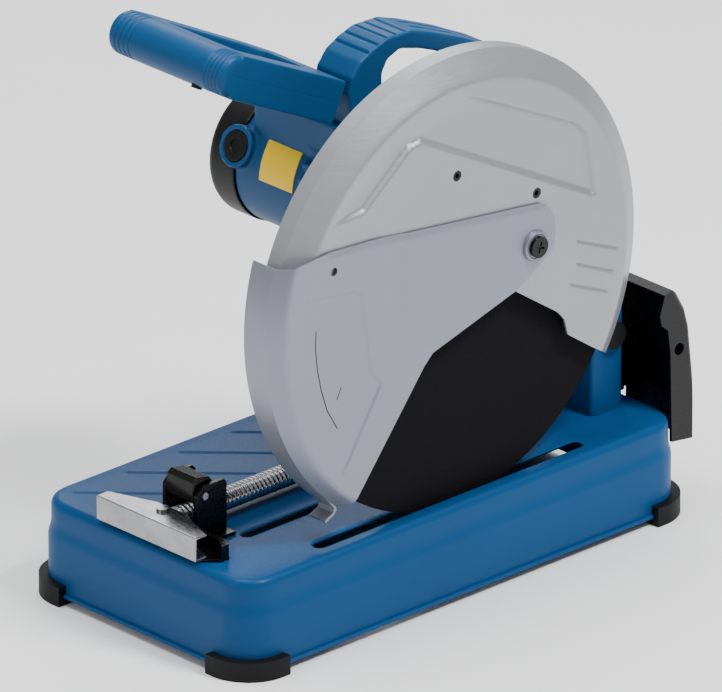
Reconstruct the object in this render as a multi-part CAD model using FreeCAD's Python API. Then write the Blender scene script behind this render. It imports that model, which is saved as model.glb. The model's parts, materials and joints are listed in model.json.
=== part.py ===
import FreeCAD, Part
import math
import os

V = FreeCAD.Vector

# ---------------------------------------------------------------------------
# Abrasive chop saw, millimetres, +Z up.
# Origin: on the floor, under the disc spindle, at the middle of the overall
# box. -X is the operator's end, +X the pivot end. The disc runs near the -Y
# side and the motor lies along +Y.
# ---------------------------------------------------------------------------

# Disc and spindle
DISC_D = 355.0
DISC_T = 3.0
DISC_Y = -100.0
DISC_Z = 249.0
BORE_D = 25.4
# Base tray
BASE_X, BASE_Y = -4.0, -2.0
BASE_L, BASE_W = 472.0, 246.0
TABLE_Z = 80.0
LIP_Z = 6.0
WALL = 2.5
# Arm pivot
PIVOT_X, PIVOT_Z = 195.0, 144.0
SHAFT_R = 8.0
RUN = 0.06                      # radial running clearance of shafts in bores
# Drive
MODULE = 2.0
GEAR_TEETH, PINION_TEETH = 37, 12
MOTOR_X = 10.0
CENTRES = MODULE * (GEAR_TEETH + PINION_TEETH) / 2
MOTOR_Z = DISC_Z + math.sqrt(CENTRES ** 2 - MOTOR_X ** 2)
MOTOR_R = 53.0
MOTOR_Y0, MOTOR_Y1 = -29.0, 98.0
CAP_END_Y = 130.0
BRUSH_Y = 97.0
BRUSH_ANGLE = 23.0              # above the horizontal, towards the front
GLAND = (12.0, 42.0)            # cable gland, X and Z from the motor's axis
# Guards
GUARD_R, GUARD_FLAT_R = 192.5, 172.7
GUARD_Y0, GUARD_CREASE_Y, GUARD_Y1 = -84.0, -99.0, -112.0
SHEET = 2.0
LOW_R, LOW_FLAT_R, LOW_RISE = 199.0, 189.5, 13.0
LOW_SHEET = 1.5
LOW_Y0, LOW_CREASE_Y, LOW_Y1 = -79.0, -102.5, -115.0
GUARD_PIN_X, GUARD_PIN_Z = 71.3, 269.0
# Loop handle
GRIP_X, GRIP_Z, GRIP_R = -143.0, 438.5, 17.5
LOOP_TILT = 26.0
LOOP_Y0, LOOP_Y1 = -13.0, 115.0
LOOP_LEN = 150.0
# Carrying handle
CARRY_Y0, CARRY_Y1 = -13.0, 27.0
# Vise
VISE_Y, VISE_Z, SCREW_R = -8.5, 92.0, 9.0
BAR_X, BAR_L = -235.5, 111.0
THREAD_X1, SCREW_X1 = 7.0, 28.0
SWIVEL_X, SWIVEL_R = 24.0, 2.5
# Spark hood
HOOD_Y0, HOOD_Y1 = -112.0, -49.0
HOOD_X1 = 245.0

NODES = {}


def keep(name, shape):
    """Store one named node, cleaned of leftover seams."""
    NODES[name] = shape.removeSplitter()
    return NODES[name]


def box(x0, x1, y0, y1, z0, z1):
    return Part.makeBox(x1 - x0, y1 - y0, z1 - z0, V(x0, y0, z0))


def cyl_y(x, z, r, y0, y1):
    return Part.makeCylinder(r, y1 - y0, V(x, y0, z), V(0, 1, 0))


def cyl_z(x, y, r, z0, z1):
    return Part.makeCylinder(r, z1 - z0, V(x, y, z0), V(0, 0, 1))


def cyl_x(y, z, r, x0, x1):
    return Part.makeCylinder(r, x1 - x0, V(x0, y, z), V(1, 0, 0))


def ring_z(x, y, r_out, r_in, z0, z1):
    return cyl_z(x, y, r_out, z0, z1).cut(cyl_z(x, y, r_in, z0 - 1, z1 + 1))


def ring_y(x, z, r_out, r_in, y0, y1):
    return cyl_y(x, z, r_out, y0, y1).cut(cyl_y(x, z, r_in, y0 - 1, y1 + 1))


def union(shapes):
    out = shapes[0]
    for s in shapes[1:]:
        out = out.fuse(s)
    return out.removeSplitter()


def prism_xz(points, y0, y1):
    """Extrude an outline drawn in X and Z along Y."""
    wire = Part.makePolygon([V(x, y0, z) for x, z in points + points[:1]])
    return Part.Face(wire).extrude(V(0, y1 - y0, 0))


def prism_xy(points, z0, z1):
    """Extrude an outline drawn in X and Y along Z."""
    wire = Part.makePolygon([V(x, y, z0) for x, y in points + points[:1]])
    return Part.Face(wire).extrude(V(0, 0, z1 - z0))


def revolve_y(profile, x, z):
    """Turn a closed (radius, y) outline about the Y direction at x, z."""
    pts = [V(x + r, y, z) for r, y in profile + profile[:1]]
    return Part.Face(Part.makePolygon(pts)).revolve(V(x, 0, z), V(0, 1, 0), 360)


def slab(grow, z0, z1, radius):
    """Rounded rectangle centred on the base; grow is its inset from the flange."""
    hx, hy = BASE_L / 2 - grow, BASE_W / 2 - grow
    body = box(BASE_X - hx, BASE_X + hx, BASE_Y - hy, BASE_Y + hy, z0, z1)
    upright = [e for e in body.Edges if abs(e.tangentAt(e.FirstParameter).z) > 0.9]
    return body.makeFillet(radius, upright)


def slot_z(x0, x1, y, width, z0, z1):
    """Round-ended slot cutter running along X."""
    r = width / 2
    return union([box(x0 + r, x1 - r, y - r, y + r, z0, z1),
                  cyl_z(x0 + r, y, r, z0, z1), cyl_z(x1 - r, y, r, z0, z1)])


def polar(x, z, r, degrees):
    a = math.radians(degrees)
    return x + r * math.cos(a), z + r * math.sin(a)


def bolt_z(x, y, r, z0, z1, head_r, head_h, head_up=True):
    """Hexagon bolt along Z with its head at the top or the bottom."""
    hex_pts = [(x + head_r * math.cos(math.radians(a)), y + head_r * math.sin(math.radians(a)))
               for a in range(0, 360, 60)]
    head = prism_xy(hex_pts, z1, z1 + head_h) if head_up else prism_xy(hex_pts, z0 - head_h, z0)
    return head.fuse(cyl_z(x, y, r, z0, z1)).removeSplitter()


# ------------------------------------------------------------------ base ---
STEP_Z = 55.0
UPPER_IN, LOWER_IN = 5.0, 2.5
BLADE_SLOT = (-146.0, 136.0, DISC_Y, 11.0)
BOLT_SLOT = (-172.0, 142.0, -48.0, 9.5)
STOP_SCREW = (160.0, -45.0)
HOOD_SCREWS = [(224.0, -36.0), (224.0, -18.0)]
COLUMN_BOLTS = [(191.0, -48.0), (191.0, -15.0), (191.0, 18.0)]
BRACKET_BOLTS = [(-198.0, 16.0), (-180.0, 16.0)]


def table_holes():
    cuts = [slot_z(*BLADE_SLOT, TABLE_Z - 10, TABLE_Z + 5),
            slot_z(*BOLT_SLOT, TABLE_Z - 10, TABLE_Z + 5)]
    for x, y in HOOD_SCREWS:
        cuts.append(cyl_z(x, y, 2.5, TABLE_Z - 10, TABLE_Z + 5))
    for x, y in COLUMN_BOLTS:
        cuts.append(cyl_z(x, y, 4.0, TABLE_Z - 10, TABLE_Z + 5))
    for x, y in BRACKET_BOLTS:
        cuts.append(cyl_z(x, y, 3.0, TABLE_Z - 10, TABLE_Z + 5))
    cuts.append(cyl_z(*FENCE_PIVOT, FENCE_BOLT_R, TABLE_Z - 10, TABLE_Z + 5))
    cuts.append(cyl_z(*STOP_SCREW, 3.0, TABLE_Z - 10, TABLE_Z + 5))
    return union(cuts)


def table_rib(x):
    """One low pressed rib, at 45 degrees across the table's left half."""
    length, width, height = 97.0, 4.0, 1.2
    rib = box(0, length, -width / 2, width / 2, 0, height)
    rib.rotate(V(0, 0, 0), V(0, 0, 1), -45)
    rib.translate(V(x, 98.0, TABLE_Z))
    return rib


def base_outer():
    top = slab(UPPER_IN, STEP_Z, TABLE_Z, 28)
    rim = [e for e in top.Edges if abs(e.BoundBox.ZMin - TABLE_Z) < 1e-4]
    top = top.makeFillet(6.5, rim)
    lower = slab(LOWER_IN, LIP_Z, STEP_Z, 30.5)
    shoulder = [e for e in lower.Edges if abs(e.BoundBox.ZMin - STEP_Z) < 1e-4]
    lower = lower.makeChamfer(2.4, shoulder)
    return union([top, lower, slab(0, LIP_Z, LIP_Z + 3, 33)])


def base_shell():
    inner = slab(UPPER_IN + WALL, LIP_Z - 1, TABLE_Z - WALL, 25.5)
    inner = inner.fuse(slab(LOWER_IN + WALL, LIP_Z - 1, STEP_Z - WALL - 1.5, 28))
    shell = base_outer().cut(inner).cut(table_holes())
    return union([shell] + [table_rib(-210 + 55 * i) for i in range(4)])


def foot(side_x, side_y):
    """Rubber corner boot that grips the flange and stands on the floor."""
    reach = 46.0
    outer = slab(-5, 0, 16, 38)
    block = outer.cut(slab(17, -1, LIP_Z, 16)).cut(slab(5, LIP_Z - 0.001, 20, 28))
    x_edge = BASE_X + side_x * (BASE_L / 2 + 5)
    y_edge = BASE_Y + side_y * (BASE_W / 2 + 5)
    corner = box(min(x_edge, x_edge - side_x * reach), max(x_edge, x_edge - side_x * reach),
                 min(y_edge, y_edge - side_y * reach), max(y_edge, y_edge - side_y * reach), 0, 16)
    return block.common(corner).cut(NODES["base_shell"])


# ---------------------------------------------------------------- column ---
COL_X0, COL_X1 = 174.0, 208.0
EAR_R_Y, EAR_L_Y = (-73.0, -61.0), (31.0, 43.0)
LOCK_X, LOCK_Z = 182.0, 128.0


def column():
    foot_block = box(COL_X0, COL_X1, EAR_R_Y[0], EAR_L_Y[1], TABLE_Z, 96)
    front_web = box(COL_X0, COL_X0 + 6, EAR_R_Y[0], EAR_L_Y[1], 96, 112)
    rear_web = box(COL_X1 - 6, COL_X1, EAR_R_Y[0], EAR_L_Y[1], 96, 112)
    ears = []
    for y0, y1 in (EAR_R_Y, EAR_L_Y):
        ears.append(box(COL_X0, COL_X1, y0, y1, 96, 161))
        ears.append(cyl_y((COL_X0 + COL_X1) / 2, 161, (COL_X1 - COL_X0) / 2, y0, y1))
    body = union([foot_block, front_web, rear_web] + ears)
    body = body.cut(cyl_y(PIVOT_X, PIVOT_Z, SHAFT_R, -90, 60))
    body = body.cut(cyl_y(LOCK_X, LOCK_Z, 4.06, EAR_L_Y[0] - 1, EAR_L_Y[1] + 1))
    for x, y in COLUMN_BOLTS:
        body = body.cut(cyl_z(x, y, 4.0, TABLE_Z - 1, 97))
    edges = [e for e in body.Edges if abs(e.BoundBox.XMax - COL_X0) < 1e-4
             and e.BoundBox.ZLength > 30 and e.BoundBox.YLength < 1e-4
             and (abs(e.BoundBox.YMin - EAR_R_Y[0]) < 1e-4 or abs(e.BoundBox.YMin - EAR_L_Y[1]) < 1e-4)]
    return body.makeFillet(4, edges)


def column_bolts():
    return Part.makeCompound([bolt_z(x, y, 4.0, TABLE_Z - WALL - 4, 96, 7.5, 5) for x, y in COLUMN_BOLTS])


def depth_stop():
    """Adjustable stop screw with its lock nut, under the arm's beam."""
    x, y = STOP_SCREW
    return bolt_z(x, y, 3.0, TABLE_Z - WALL - 12, TABLE_Z, 5.5, 4).fuse(
        cyl_z(x, y, 3.0, TABLE_Z + 4, TABLE_Z + 26)).fuse(cyl_z(x, y, 5.0, TABLE_Z + 26, TABLE_Z + 30))


def lock_pin():
    """Spring pin in the left ear that holds the arm down; drawn out at rest."""
    return union([cyl_y(LOCK_X, LOCK_Z, 4.0, HUB_Y[1] + 1, EAR_L_Y[1] + 14),
                  cyl_y(LOCK_X, LOCK_Z, 8.0, EAR_L_Y[1] + 14, EAR_L_Y[1] + 24)])


def pivot_caps():
    right = cyl_y(PIVOT_X, PIVOT_Z, 11, EAR_R_Y[0] - 5, EAR_R_Y[0])
    left = cyl_y(PIVOT_X, PIVOT_Z, 11, EAR_L_Y[1], EAR_L_Y[1] + 6)
    pocket = cyl_y(PIVOT_X, PIVOT_Z, SHAFT_R, EAR_R_Y[0] - 2, EAR_L_Y[1] + 3)
    return Part.makeCompound([right.cut(pocket), left.cut(pocket)])


# ------------------------------------------------------------ spark hood ---
def spark_hood():
    rear = [(222.6, 57), (HOOD_X1, 54), (HOOD_X1, 100), (244.5, 129), (242, 150), (237.6, 165.5),
            (230, 179), (222, 185.5), (214, 183), (208.8, 167), (211, 158), (217.5, 153), (220.5, 133)]
    outer = prism_xz(rear, HOOD_Y0, HOOD_Y1)
    long_edges = [e for e in outer.Edges if e.BoundBox.YLength < 1e-4
                  and (e.BoundBox.XMin > 229 and e.BoundBox.ZMin > 120)]
    outer = outer.makeFillet(5, long_edges)
    void = prism_xz([(150, 40), (HOOD_X1 - 2.5, 40), (HOOD_X1 - 2.5, 100), (242, 128.5),
                     (239.5, 149), (235.3, 164), (228, 176.5), (221, 182), (150, 179)],
                    HOOD_Y0 + 2.5, HOOD_Y1 - 2.5)
    shell = outer.cut(void)
    shell = shell.cut(box(200, 250, HOOD_Y1 - 8, HOOD_Y1 + 5, 40, 67))
    shell = shell.cut(box(200, 234, HOOD_Y1 - 8, HOOD_Y1 + 5, 40, TABLE_Z + 2.5))
    shell = shell.cut(box(200, 222, -62, HOOD_Y1 + 5, TABLE_Z, 163))
    shell = shell.cut(box(200, 214, -62, HOOD_Y1 + 5, 160, 200))
    shell = shell.cut(cyl_y(230, 133.5, 5, HOOD_Y0 - 5, HOOD_Y0 + 6))
    tab = box(216, 230, HOOD_Y1 - 2.5, -8, TABLE_Z, TABLE_Z + 2.5)
    web = box(222.5, 230, HOOD_Y1 - 2.5, HOOD_Y1, TABLE_Z, 110)
    shell = union([shell, tab, web])
    for x, y in HOOD_SCREWS:
        shell = shell.cut(cyl_z(x, y, 2.5, TABLE_Z - 1, TABLE_Z + 5))
    return shell


def hood_screws():
    screws = []
    for x, y in HOOD_SCREWS:
        screws.append(cyl_z(x, y, 5, TABLE_Z + 2.5, TABLE_Z + 5.5).fuse(
            cyl_z(x, y, 2.5, TABLE_Z - 6, TABLE_Z + 2.5)).removeSplitter())
    return Part.makeCompound(screws)


# ------------------------------------------------------------------ vise ---
BRACKET_X0, BRACKET_X1 = -205.0, -174.0
PLATE_Y = [(-33.0, -29.0), (2.0, 6.0)]
LEVER_X, LEVER_Z = -197.5, 116.0


def vise_bracket():
    """Two side plates with chamfered tops on one foot, round the half nut."""
    plates = []
    for y0, y1 in PLATE_Y:
        plates.append(prism_xz([(BRACKET_X0, TABLE_Z), (BRACKET_X1, TABLE_Z), (BRACKET_X1, 121),
                                (BRACKET_X1 - 3, 124), (BRACKET_X0 + 7, 124), (BRACKET_X0, 117)], y0, y1))
    web = box(BRACKET_X1 - 10, BRACKET_X1 - 1, PLATE_Y[0][1], PLATE_Y[1][0], TABLE_Z, 102)
    left = box(BRACKET_X0, BRACKET_X1, PLATE_Y[1][1], 24, TABLE_Z, TABLE_Z + 4)
    right = box(BRACKET_X0, BRACKET_X1, -43, PLATE_Y[0][0], TABLE_Z, TABLE_Z + 3)
    body = union(plates + [web, left, right])
    body = body.cut(cyl_x(VISE_Y, VISE_Z, SCREW_R + 0.4, -260, 60))
    body = body.cut(cyl_y(LEVER_X, LEVER_Z, 3.0, -60, 60))
    for x, y in BRACKET_BOLTS:
        body = body.cut(cyl_z(x, y, 3.0, TABLE_Z - 1, TABLE_Z + 5))
    return body


def bracket_bolts():
    return Part.makeCompound([bolt_z(x, y, 3.0, TABLE_Z - WALL - 3, TABLE_Z + 4, 5.5, 4)
                              for x, y in BRACKET_BOLTS])


def vise_shoe():
    """Thick rounded foot in front of the bracket, under the handle bar's end."""
    body = prism_xy([(-231, -60), (-218, -73), (-209, -73), (-205.5, -66), (-205.5, -12), (-231, -12)],
                    TABLE_Z, TABLE_Z + 2.4)
    raised = prism_xy([(-217, -73), (-209.5, -73), (-205.5, -66), (-205.5, -36), (-209, -36),
                       (-211, -64)], TABLE_Z, TABLE_Z + 13)
    return body.fuse(raised).removeSplitter()


def lever_pin():
    return cyl_y(LEVER_X, LEVER_Z, 3.0, PLATE_Y[0][0] - 1.5, PLATE_Y[1][1] + 1.5)


def release_lever():
    """Hooked quick-release lever between the plates, holding the half nut down."""
    y0, y1 = PLATE_Y[0][1] + 0.5, PLATE_Y[1][0] - 0.5
    arm = prism_xz([(-206, 117), (-204, 110), (-193, 107), (-186, 111), (-183, 121), (-188, 128),
                    (-200, 130), (-204.5, 127)], y0, y1)
    return arm.cut(cyl_y(LEVER_X, LEVER_Z, 3.0 + RUN, -60, 60))


def ridged_rod_x(x0, x1, y, z, r_out, r_in, pitch):
    """Rod along X with one ridge per pitch."""
    count = int((x1 - x0) / pitch)
    pts = [V(x0, y, z), V(x0, y, z + r_in)]
    for i in range(count):
        s = x0 + i * pitch
        pts += [V(s + pitch * 0.25, y, z + r_in), V(s + pitch * 0.45, y, z + r_out),
                V(s + pitch * 0.8, y, z + r_out), V(s + pitch, y, z + r_in)]
    pts += [V(x1, y, z + r_in), V(x1, y, z), V(x0, y, z)]
    clean = [p for i, p in enumerate(pts) if i == 0 or (p - pts[i - 1]).Length > 1e-6]
    return Part.Face(Part.makePolygon(clean)).revolve(V(0, y, z), V(1, 0, 0), 360)


def vise_screw():
    body = ridged_rod_x(-208, THREAD_X1, VISE_Y, VISE_Z, SCREW_R, SCREW_R - 1.4, 5.0)
    nose = cyl_x(VISE_Y, VISE_Z, 6.0, THREAD_X1, SCREW_X1)
    neck = cyl_x(VISE_Y, VISE_Z, 7.0, -224, -208)
    body = union([body, nose, neck]).cut(cyl_z(-218, VISE_Y, 2.5, 70, 110))
    return body.cut(cyl_z(SWIVEL_X, VISE_Y, SWIVEL_R + RUN, 70, 110))


def vise_handle():
    """Pressed channel handle: web at the front, flanges deepest at the middle."""
    y0, y1 = VISE_Y - BAR_L / 2, VISE_Y + BAR_L / 2
    outline = [(BAR_X, y0), (BAR_X + 12, y0), (BAR_X + 26, VISE_Y - 14), (BAR_X + 26, VISE_Y + 14),
               (BAR_X + 12, y1), (BAR_X, y1)]
    bar = prism_xy(outline, VISE_Z - 9.5, VISE_Z + 10.5)
    hollow = box(BAR_X + 2, BAR_X + 40, y0 - 1, y1 + 1, VISE_Z - 7.5, VISE_Z + 8.5)
    bar = bar.cut(hollow).cut(cyl_z(-218, VISE_Y, 2.5, 70, 110))
    return bar


def handle_rivet():
    stem = cyl_z(-218, VISE_Y, 2.5, VISE_Z - 9.5, VISE_Z + 10.5)
    head = cyl_z(-218, VISE_Y, 5.0, VISE_Z + 10.5, VISE_Z + 13)
    return stem.fuse(head).removeSplitter()


def clamp_foot():
    """Jaw that swivels on an upright pin through the end of the screw."""
    low = TABLE_Z + 1.6
    plate = box(SWIVEL_X + 5, SWIVEL_X + 11, VISE_Y - 45, VISE_Y + 45, low, TABLE_Z + 41)
    hub = cyl_z(SWIVEL_X, VISE_Y, 13, low, TABLE_Z + 27)
    body = hub.fuse(plate).removeSplitter()
    mouth = box(0, SWIVEL_X + 7.5, VISE_Y - 20, VISE_Y + 20, VISE_Z - 7, VISE_Z + 7)
    pin = cyl_z(SWIVEL_X, VISE_Y, SWIVEL_R, low, TABLE_Z + 27)
    return body.cut(mouth).fuse(pin).removeSplitter()


# ----------------------------------------------------------------- fence ---
FENCE_BOLT_R = 4.6
FENCE_PIVOT = (84.0, 10.0)
LOCK_STUD = (131.0, -48.0)
SWING = 46.0                    # degrees


def fence():
    """Angle stop: an upright plate on a sole with a pivot hole and an arc slot."""
    px, py = FENCE_PIVOT
    z0, z1 = TABLE_Z + 0.2, TABLE_Z + 5.2
    radius = math.dist(FENCE_PIVOT, LOCK_STUD)
    start = math.degrees(math.atan2(LOCK_STUD[1] - py, LOCK_STUD[0] - px))

    def at(r, degrees):
        a = math.radians(degrees)
        return px + r * math.cos(a), py + r * math.sin(a)

    plate = box(61, 66, -82, 40, z0, TABLE_Z + 46)
    pie = prism_xy([(px, py)] + [at(radius + 11, start + a) for a in range(-46, 9, 6)], z0, z1)
    strip = prism_xy([(62, -58), (66, -58), (84, -2), (98, 10), (90, 23), (62, 30)], z0, z1)
    body = union([plate, pie, strip, cyl_z(px, py, 14, z0, z1)])
    width = FENCE_BOLT_R + 0.3
    ring = cyl_z(px, py, radius + width, 60, 100).cut(cyl_z(px, py, radius - width, 60, 100))
    wedge = prism_xy([(px, py)] + [at(3 * radius, start + a) for a in (0, -SWING / 2, -SWING)], 60, 100)
    ends = [cyl_z(*at(radius, start + a), width, 60, 100) for a in (0, -SWING)]
    for cutter in [ring.common(wedge)] + ends:
        body = body.cut(cutter)
    return body.cut(cyl_z(px, py, FENCE_BOLT_R + RUN, 60, 100))


def fence_bolts():
    washers = [ring_z(x, y, 9.5, FENCE_BOLT_R, TABLE_Z + 5.3, TABLE_Z + 7)
               for x, y in (FENCE_PIVOT, LOCK_STUD)]
    bolts = [bolt_z(x, y, FENCE_BOLT_R, TABLE_Z - WALL - 5, TABLE_Z + 7, 8.5, 6.5)
             for x, y in (FENCE_PIVOT, LOCK_STUD)]
    return Part.makeCompound([b.fuse(w).removeSplitter() for b, w in zip(bolts, washers)])


# ------------------------------------------------------------------- arm ---
def oval_xz(x0, z0, r0, x1, z1, r1, y0, y1):
    """Link with two round ends of given radii, extruded along Y."""
    dx, dz = x1 - x0, z1 - z0
    d = math.hypot(dx, dz)
    base = math.atan2(dz, dx)
    spread = math.acos((r0 - r1) / d)
    pts = []
    for s in (1, -1):
        a = base + s * spread
        pts.append((x0 + r0 * math.cos(a), z0 + r0 * math.sin(a)))
        pts.append((x1 + r1 * math.cos(a), z1 + r1 * math.sin(a)))
    quad = prism_xz([pts[0], pts[1], pts[3], pts[2]], y0, y1)
    return union([quad, cyl_y(x0, z0, r0, y0, y1), cyl_y(x1, z1, r1, y0, y1)])


HUB_Y = (-60.2, 30.2)
GEARBOX_Y = (-79.0, MOTOR_Y0)


def gear_housing():
    y0, y1 = GEARBOX_Y
    body = oval_xz(0, DISC_Z, 50, MOTOR_X, MOTOR_Z, MOTOR_R, y0, y1)
    body = body.fuse(cyl_y(0, DISC_Z, 34, GUARD_Y0 + SHEET, y0))
    body = body.cut(cyl_y(0, DISC_Z, 41, -69, -49)).cut(cyl_y(MOTOR_X, MOTOR_Z, 17, -69, -49))
    body = body.cut(cyl_y(0, DISC_Z, 16, -82, -69)).cut(cyl_y(0, DISC_Z, 14, -49, -37))
    body = body.cut(cyl_y(MOTOR_X, MOTOR_Z, 13, -49, -39)).cut(cyl_y(MOTOR_X, MOTOR_Z, 9, -40, -28))
    body = body.cut(cyl_y(MOTOR_X, MOTOR_Z, 45, -37, -28))
    return body.cut(cyl_x(-57, DISC_Z, 6 + RUN, -60, -35))


def arm_casting():
    """Hub on the pivot shaft and the beam that carries the gearbox."""
    hub = cyl_y(PIVOT_X, PIVOT_Z, 20, *HUB_Y)
    beam = oval_xz(PIVOT_X, PIVOT_Z, 19.5, 40, 262, 34, -58, -32)
    crest = prism_xz([(20, 300), (60, 330), (138, 352), (166, 340), (166, 318), (120, 210), (60, 240)],
                     -58, -32)
    lug = box(LOCK_X - 9, PIVOT_X, 18, HUB_Y[1], LOCK_Z - 9, PIVOT_Z)
    body = union([hub, beam, crest, lug])
    body = body.cut(oval_xz(0, DISC_Z, 50, MOTOR_X, MOTOR_Z, MOTOR_R, -90, 10))
    body = body.cut(cyl_y(PIVOT_X, PIVOT_Z, SHAFT_R + RUN, -90, 60))
    return body.cut(cyl_y(LOCK_X, LOCK_Z, 4.2, 17, HUB_Y[1] + 1))


def return_spring():
    """Torsion spring coils round the hub's left end."""
    profile = []
    turns, y0, wire = 7, -27.0, 4.0
    for i in range(turns):
        for a in range(180, -1, -30):
            profile.append((24.2 + wire / 2 * math.sin(math.radians(a)),
                            y0 + (i + 0.5) * wire + wire / 2 * math.cos(math.radians(a))))
    outline = [p for i, p in enumerate(profile) if i == 0 or math.dist(p, profile[i - 1]) > 1e-6]
    outline += [(21.2, outline[-1][1]), (21.2, outline[0][1])]
    return revolve_y(outline, PIVOT_X, PIVOT_Z)


def motor_housing():
    body = cyl_y(MOTOR_X, MOTOR_Z, MOTOR_R, MOTOR_Y0, MOTOR_Y1)
    pedestal = box(MOTOR_X - 42, MOTOR_X + 34, CARRY_Y0, 88, MOTOR_Z, 362)
    body = body.fuse(pedestal)
    ax = V(-math.cos(math.radians(BRUSH_ANGLE)), 0, math.sin(math.radians(BRUSH_ANGLE)))
    for sign in (1, -1):
        start = V(MOTOR_X, BRUSH_Y, MOTOR_Z) + ax * (20 * sign)
        body = body.fuse(Part.makeCylinder(17, 38, start, ax * sign))
    body = body.removeSplitter()
    body = body.cut(cyl_y(MOTOR_X, MOTOR_Z, 46, MOTOR_Y0 - 1, 118))
    for sign in (1, -1):
        start = V(MOTOR_X, BRUSH_Y, MOTOR_Z) + ax * (18 * sign)
        body = body.cut(Part.makeCylinder(12.5, 45, start, ax * sign))
    return body


def brush_parts():
    """Screwed brush caps with the brush holders behind them, one each side."""
    ax = V(-math.cos(math.radians(BRUSH_ANGLE)), 0, math.sin(math.radians(BRUSH_ANGLE)))
    caps, brushes = [], []
    for sign in (1, -1):
        start = V(MOTOR_X, BRUSH_Y, MOTOR_Z)
        cap = Part.makeCylinder(12.5, 8, start + ax * (48.5 * sign), ax * sign)
        slot = Part.makeBox(1.6, 16, 16, V(-0.8, -8, -8))
        slot.rotate(V(0, 0, 0), V(0, 1, 0), BRUSH_ANGLE)
        slot.translate(start + ax * (56.5 * sign))
        caps.append(cap.cut(slot))
        brushes.append(Part.makeCylinder(5, 48.5 - 17.3, start + ax * (17.3 * sign), ax * sign))
    return Part.makeCompound(caps), Part.makeCompound(brushes)


def end_cap():
    """Black end cover, cut round the brush bosses, with cooling slots in its end."""
    body = cyl_y(MOTOR_X, MOTOR_Z, MOTOR_R + 1.5, MOTOR_Y1, CAP_END_Y)
    end_edges = [e for e in body.Edges if abs(e.BoundBox.YMin - CAP_END_Y) < 1e-4]
    body = body.makeFillet(9, end_edges)
    body = body.cut(cyl_y(MOTOR_X, MOTOR_Z, 46, MOTOR_Y1 - 1, CAP_END_Y - 4))
    ax = V(-math.cos(math.radians(BRUSH_ANGLE)), 0, math.sin(math.radians(BRUSH_ANGLE)))
    for sign in (1, -1):
        start = V(MOTOR_X, BRUSH_Y, MOTOR_Z) + ax * (30 * sign)
        body = body.cut(Part.makeCylinder(17, 60, start, ax * sign))
    body = body.fuse(ring_y(MOTOR_X, MOTOR_Z, 20, 13, 112, CAP_END_Y - 3)).removeSplitter()
    for i in range(-3, 4):
        half = 40 - 4 * abs(i)
        body = body.cut(box(MOTOR_X - half, MOTOR_X - 22, CAP_END_Y - 6, CAP_END_Y + 1,
                            MOTOR_Z + i * 9 - 2, MOTOR_Z + i * 9 + 2))
        body = body.cut(box(MOTOR_X + 22, MOTOR_X + half, CAP_END_Y - 6, CAP_END_Y + 1,
                            MOTOR_Z + i * 9 - 2, MOTOR_Z + i * 9 + 2))
    return body


def stator():
    body = ring_y(MOTOR_X, MOTOR_Z, 46, 29.5, 0, 62)
    for a in range(0, 360, 90):
        x, z = polar(MOTOR_X, MOTOR_Z, 46, a + 45)
        body = body.cut(cyl_y(x, z, 5, -1, 63))
    return body


def label_plate():
    """Blank rating plate bent to the motor housing."""
    band = ring_y(MOTOR_X, MOTOR_Z, MOTOR_R + 0.8, MOTOR_R, 33, 70)
    wedge = prism_xz([(MOTOR_X, MOTOR_Z), polar(MOTOR_X, MOTOR_Z, 80, 177),
                      polar(MOTOR_X, MOTOR_Z, 80, 160), polar(MOTOR_X, MOTOR_Z, 80, 142)], 30, 75)
    return band.common(wedge)


# -------------------------------------------------------- handles, switch ---
TILT = math.radians(LOOP_TILT)
LOOP_U = V(math.cos(TILT), 0, -math.sin(TILT))
LOOP_N = V(math.sin(TILT), 0, math.cos(TILT))


def loop_point(u, y, n=0.0):
    return V(GRIP_X, 0, GRIP_Z) + LOOP_U * u + LOOP_N * n + V(0, y, 0)


def loop_prism(points, n0, n1):
    """Extrude an outline drawn in the tilted plane of the loop handle."""
    wire = Part.makePolygon([loop_point(u, y, n0) for u, y in points + points[:1]])
    return Part.Face(wire).extrude(LOOP_N * (n1 - n0))


def loop_body():
    outer = loop_prism([(0, LOOP_Y0), (LOOP_LEN - 32, LOOP_Y0), (LOOP_LEN - 32, 70), (95, 88), (20, LOOP_Y1),
                        (0, LOOP_Y1)], -GRIP_R, GRIP_R)
    grip = cyl_y(GRIP_X, GRIP_Z, GRIP_R, LOOP_Y0, LOOP_Y1)
    ends = [e for e in grip.Edges if e.Curve.TypeId == "Part::GeomCircle"]
    grip = grip.makeFillet(6, ends)
    gap = loop_prism([(GRIP_R - 1, 13), (96, 13), (96, 58), (86, 68), (GRIP_R - 1, 88)],
                     -GRIP_R - 5, GRIP_R + 5)
    return outer.fuse(grip).removeSplitter().cut(gap)


BUTTON_Y = 22.0


def handle_parts():
    """Loop handle halves, parted at the mid plane, with the switch bay cut out."""
    body = loop_body()
    bay = loop_prism([(-8, 24), (GRIP_R + 5, 24), (GRIP_R + 5, 78), (-8, 78)], -8, 8)
    button_bore = Part.makeCylinder(4.5, 30, loop_point(-2, BUTTON_Y, -4), -LOOP_N)
    button_seat = Part.makeCylinder(6.2, 9, loop_point(-2, BUTTON_Y, 0.0), -LOOP_N)
    body = body.cut(bay).cut(button_bore).cut(button_seat)
    big = 400.0
    upper = loop_prism([(-big, -big), (big, -big), (big, big), (-big, big)], 0, big)
    lower = loop_prism([(-big, -big), (big, -big), (big, big), (-big, big)], -big, 0)
    pin = Part.makeCylinder(1.5, 16, loop_point(12, 71, -8), LOOP_N)
    housing = NODES["motor_housing"]
    return body.common(upper).cut(housing), body.common(lower).cut(housing).fuse(pin)


def switch_block():
    return loop_prism([(-7, 32), (4, 32), (4, 70), (-7, 70)], -7.5, 7.5)


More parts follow.
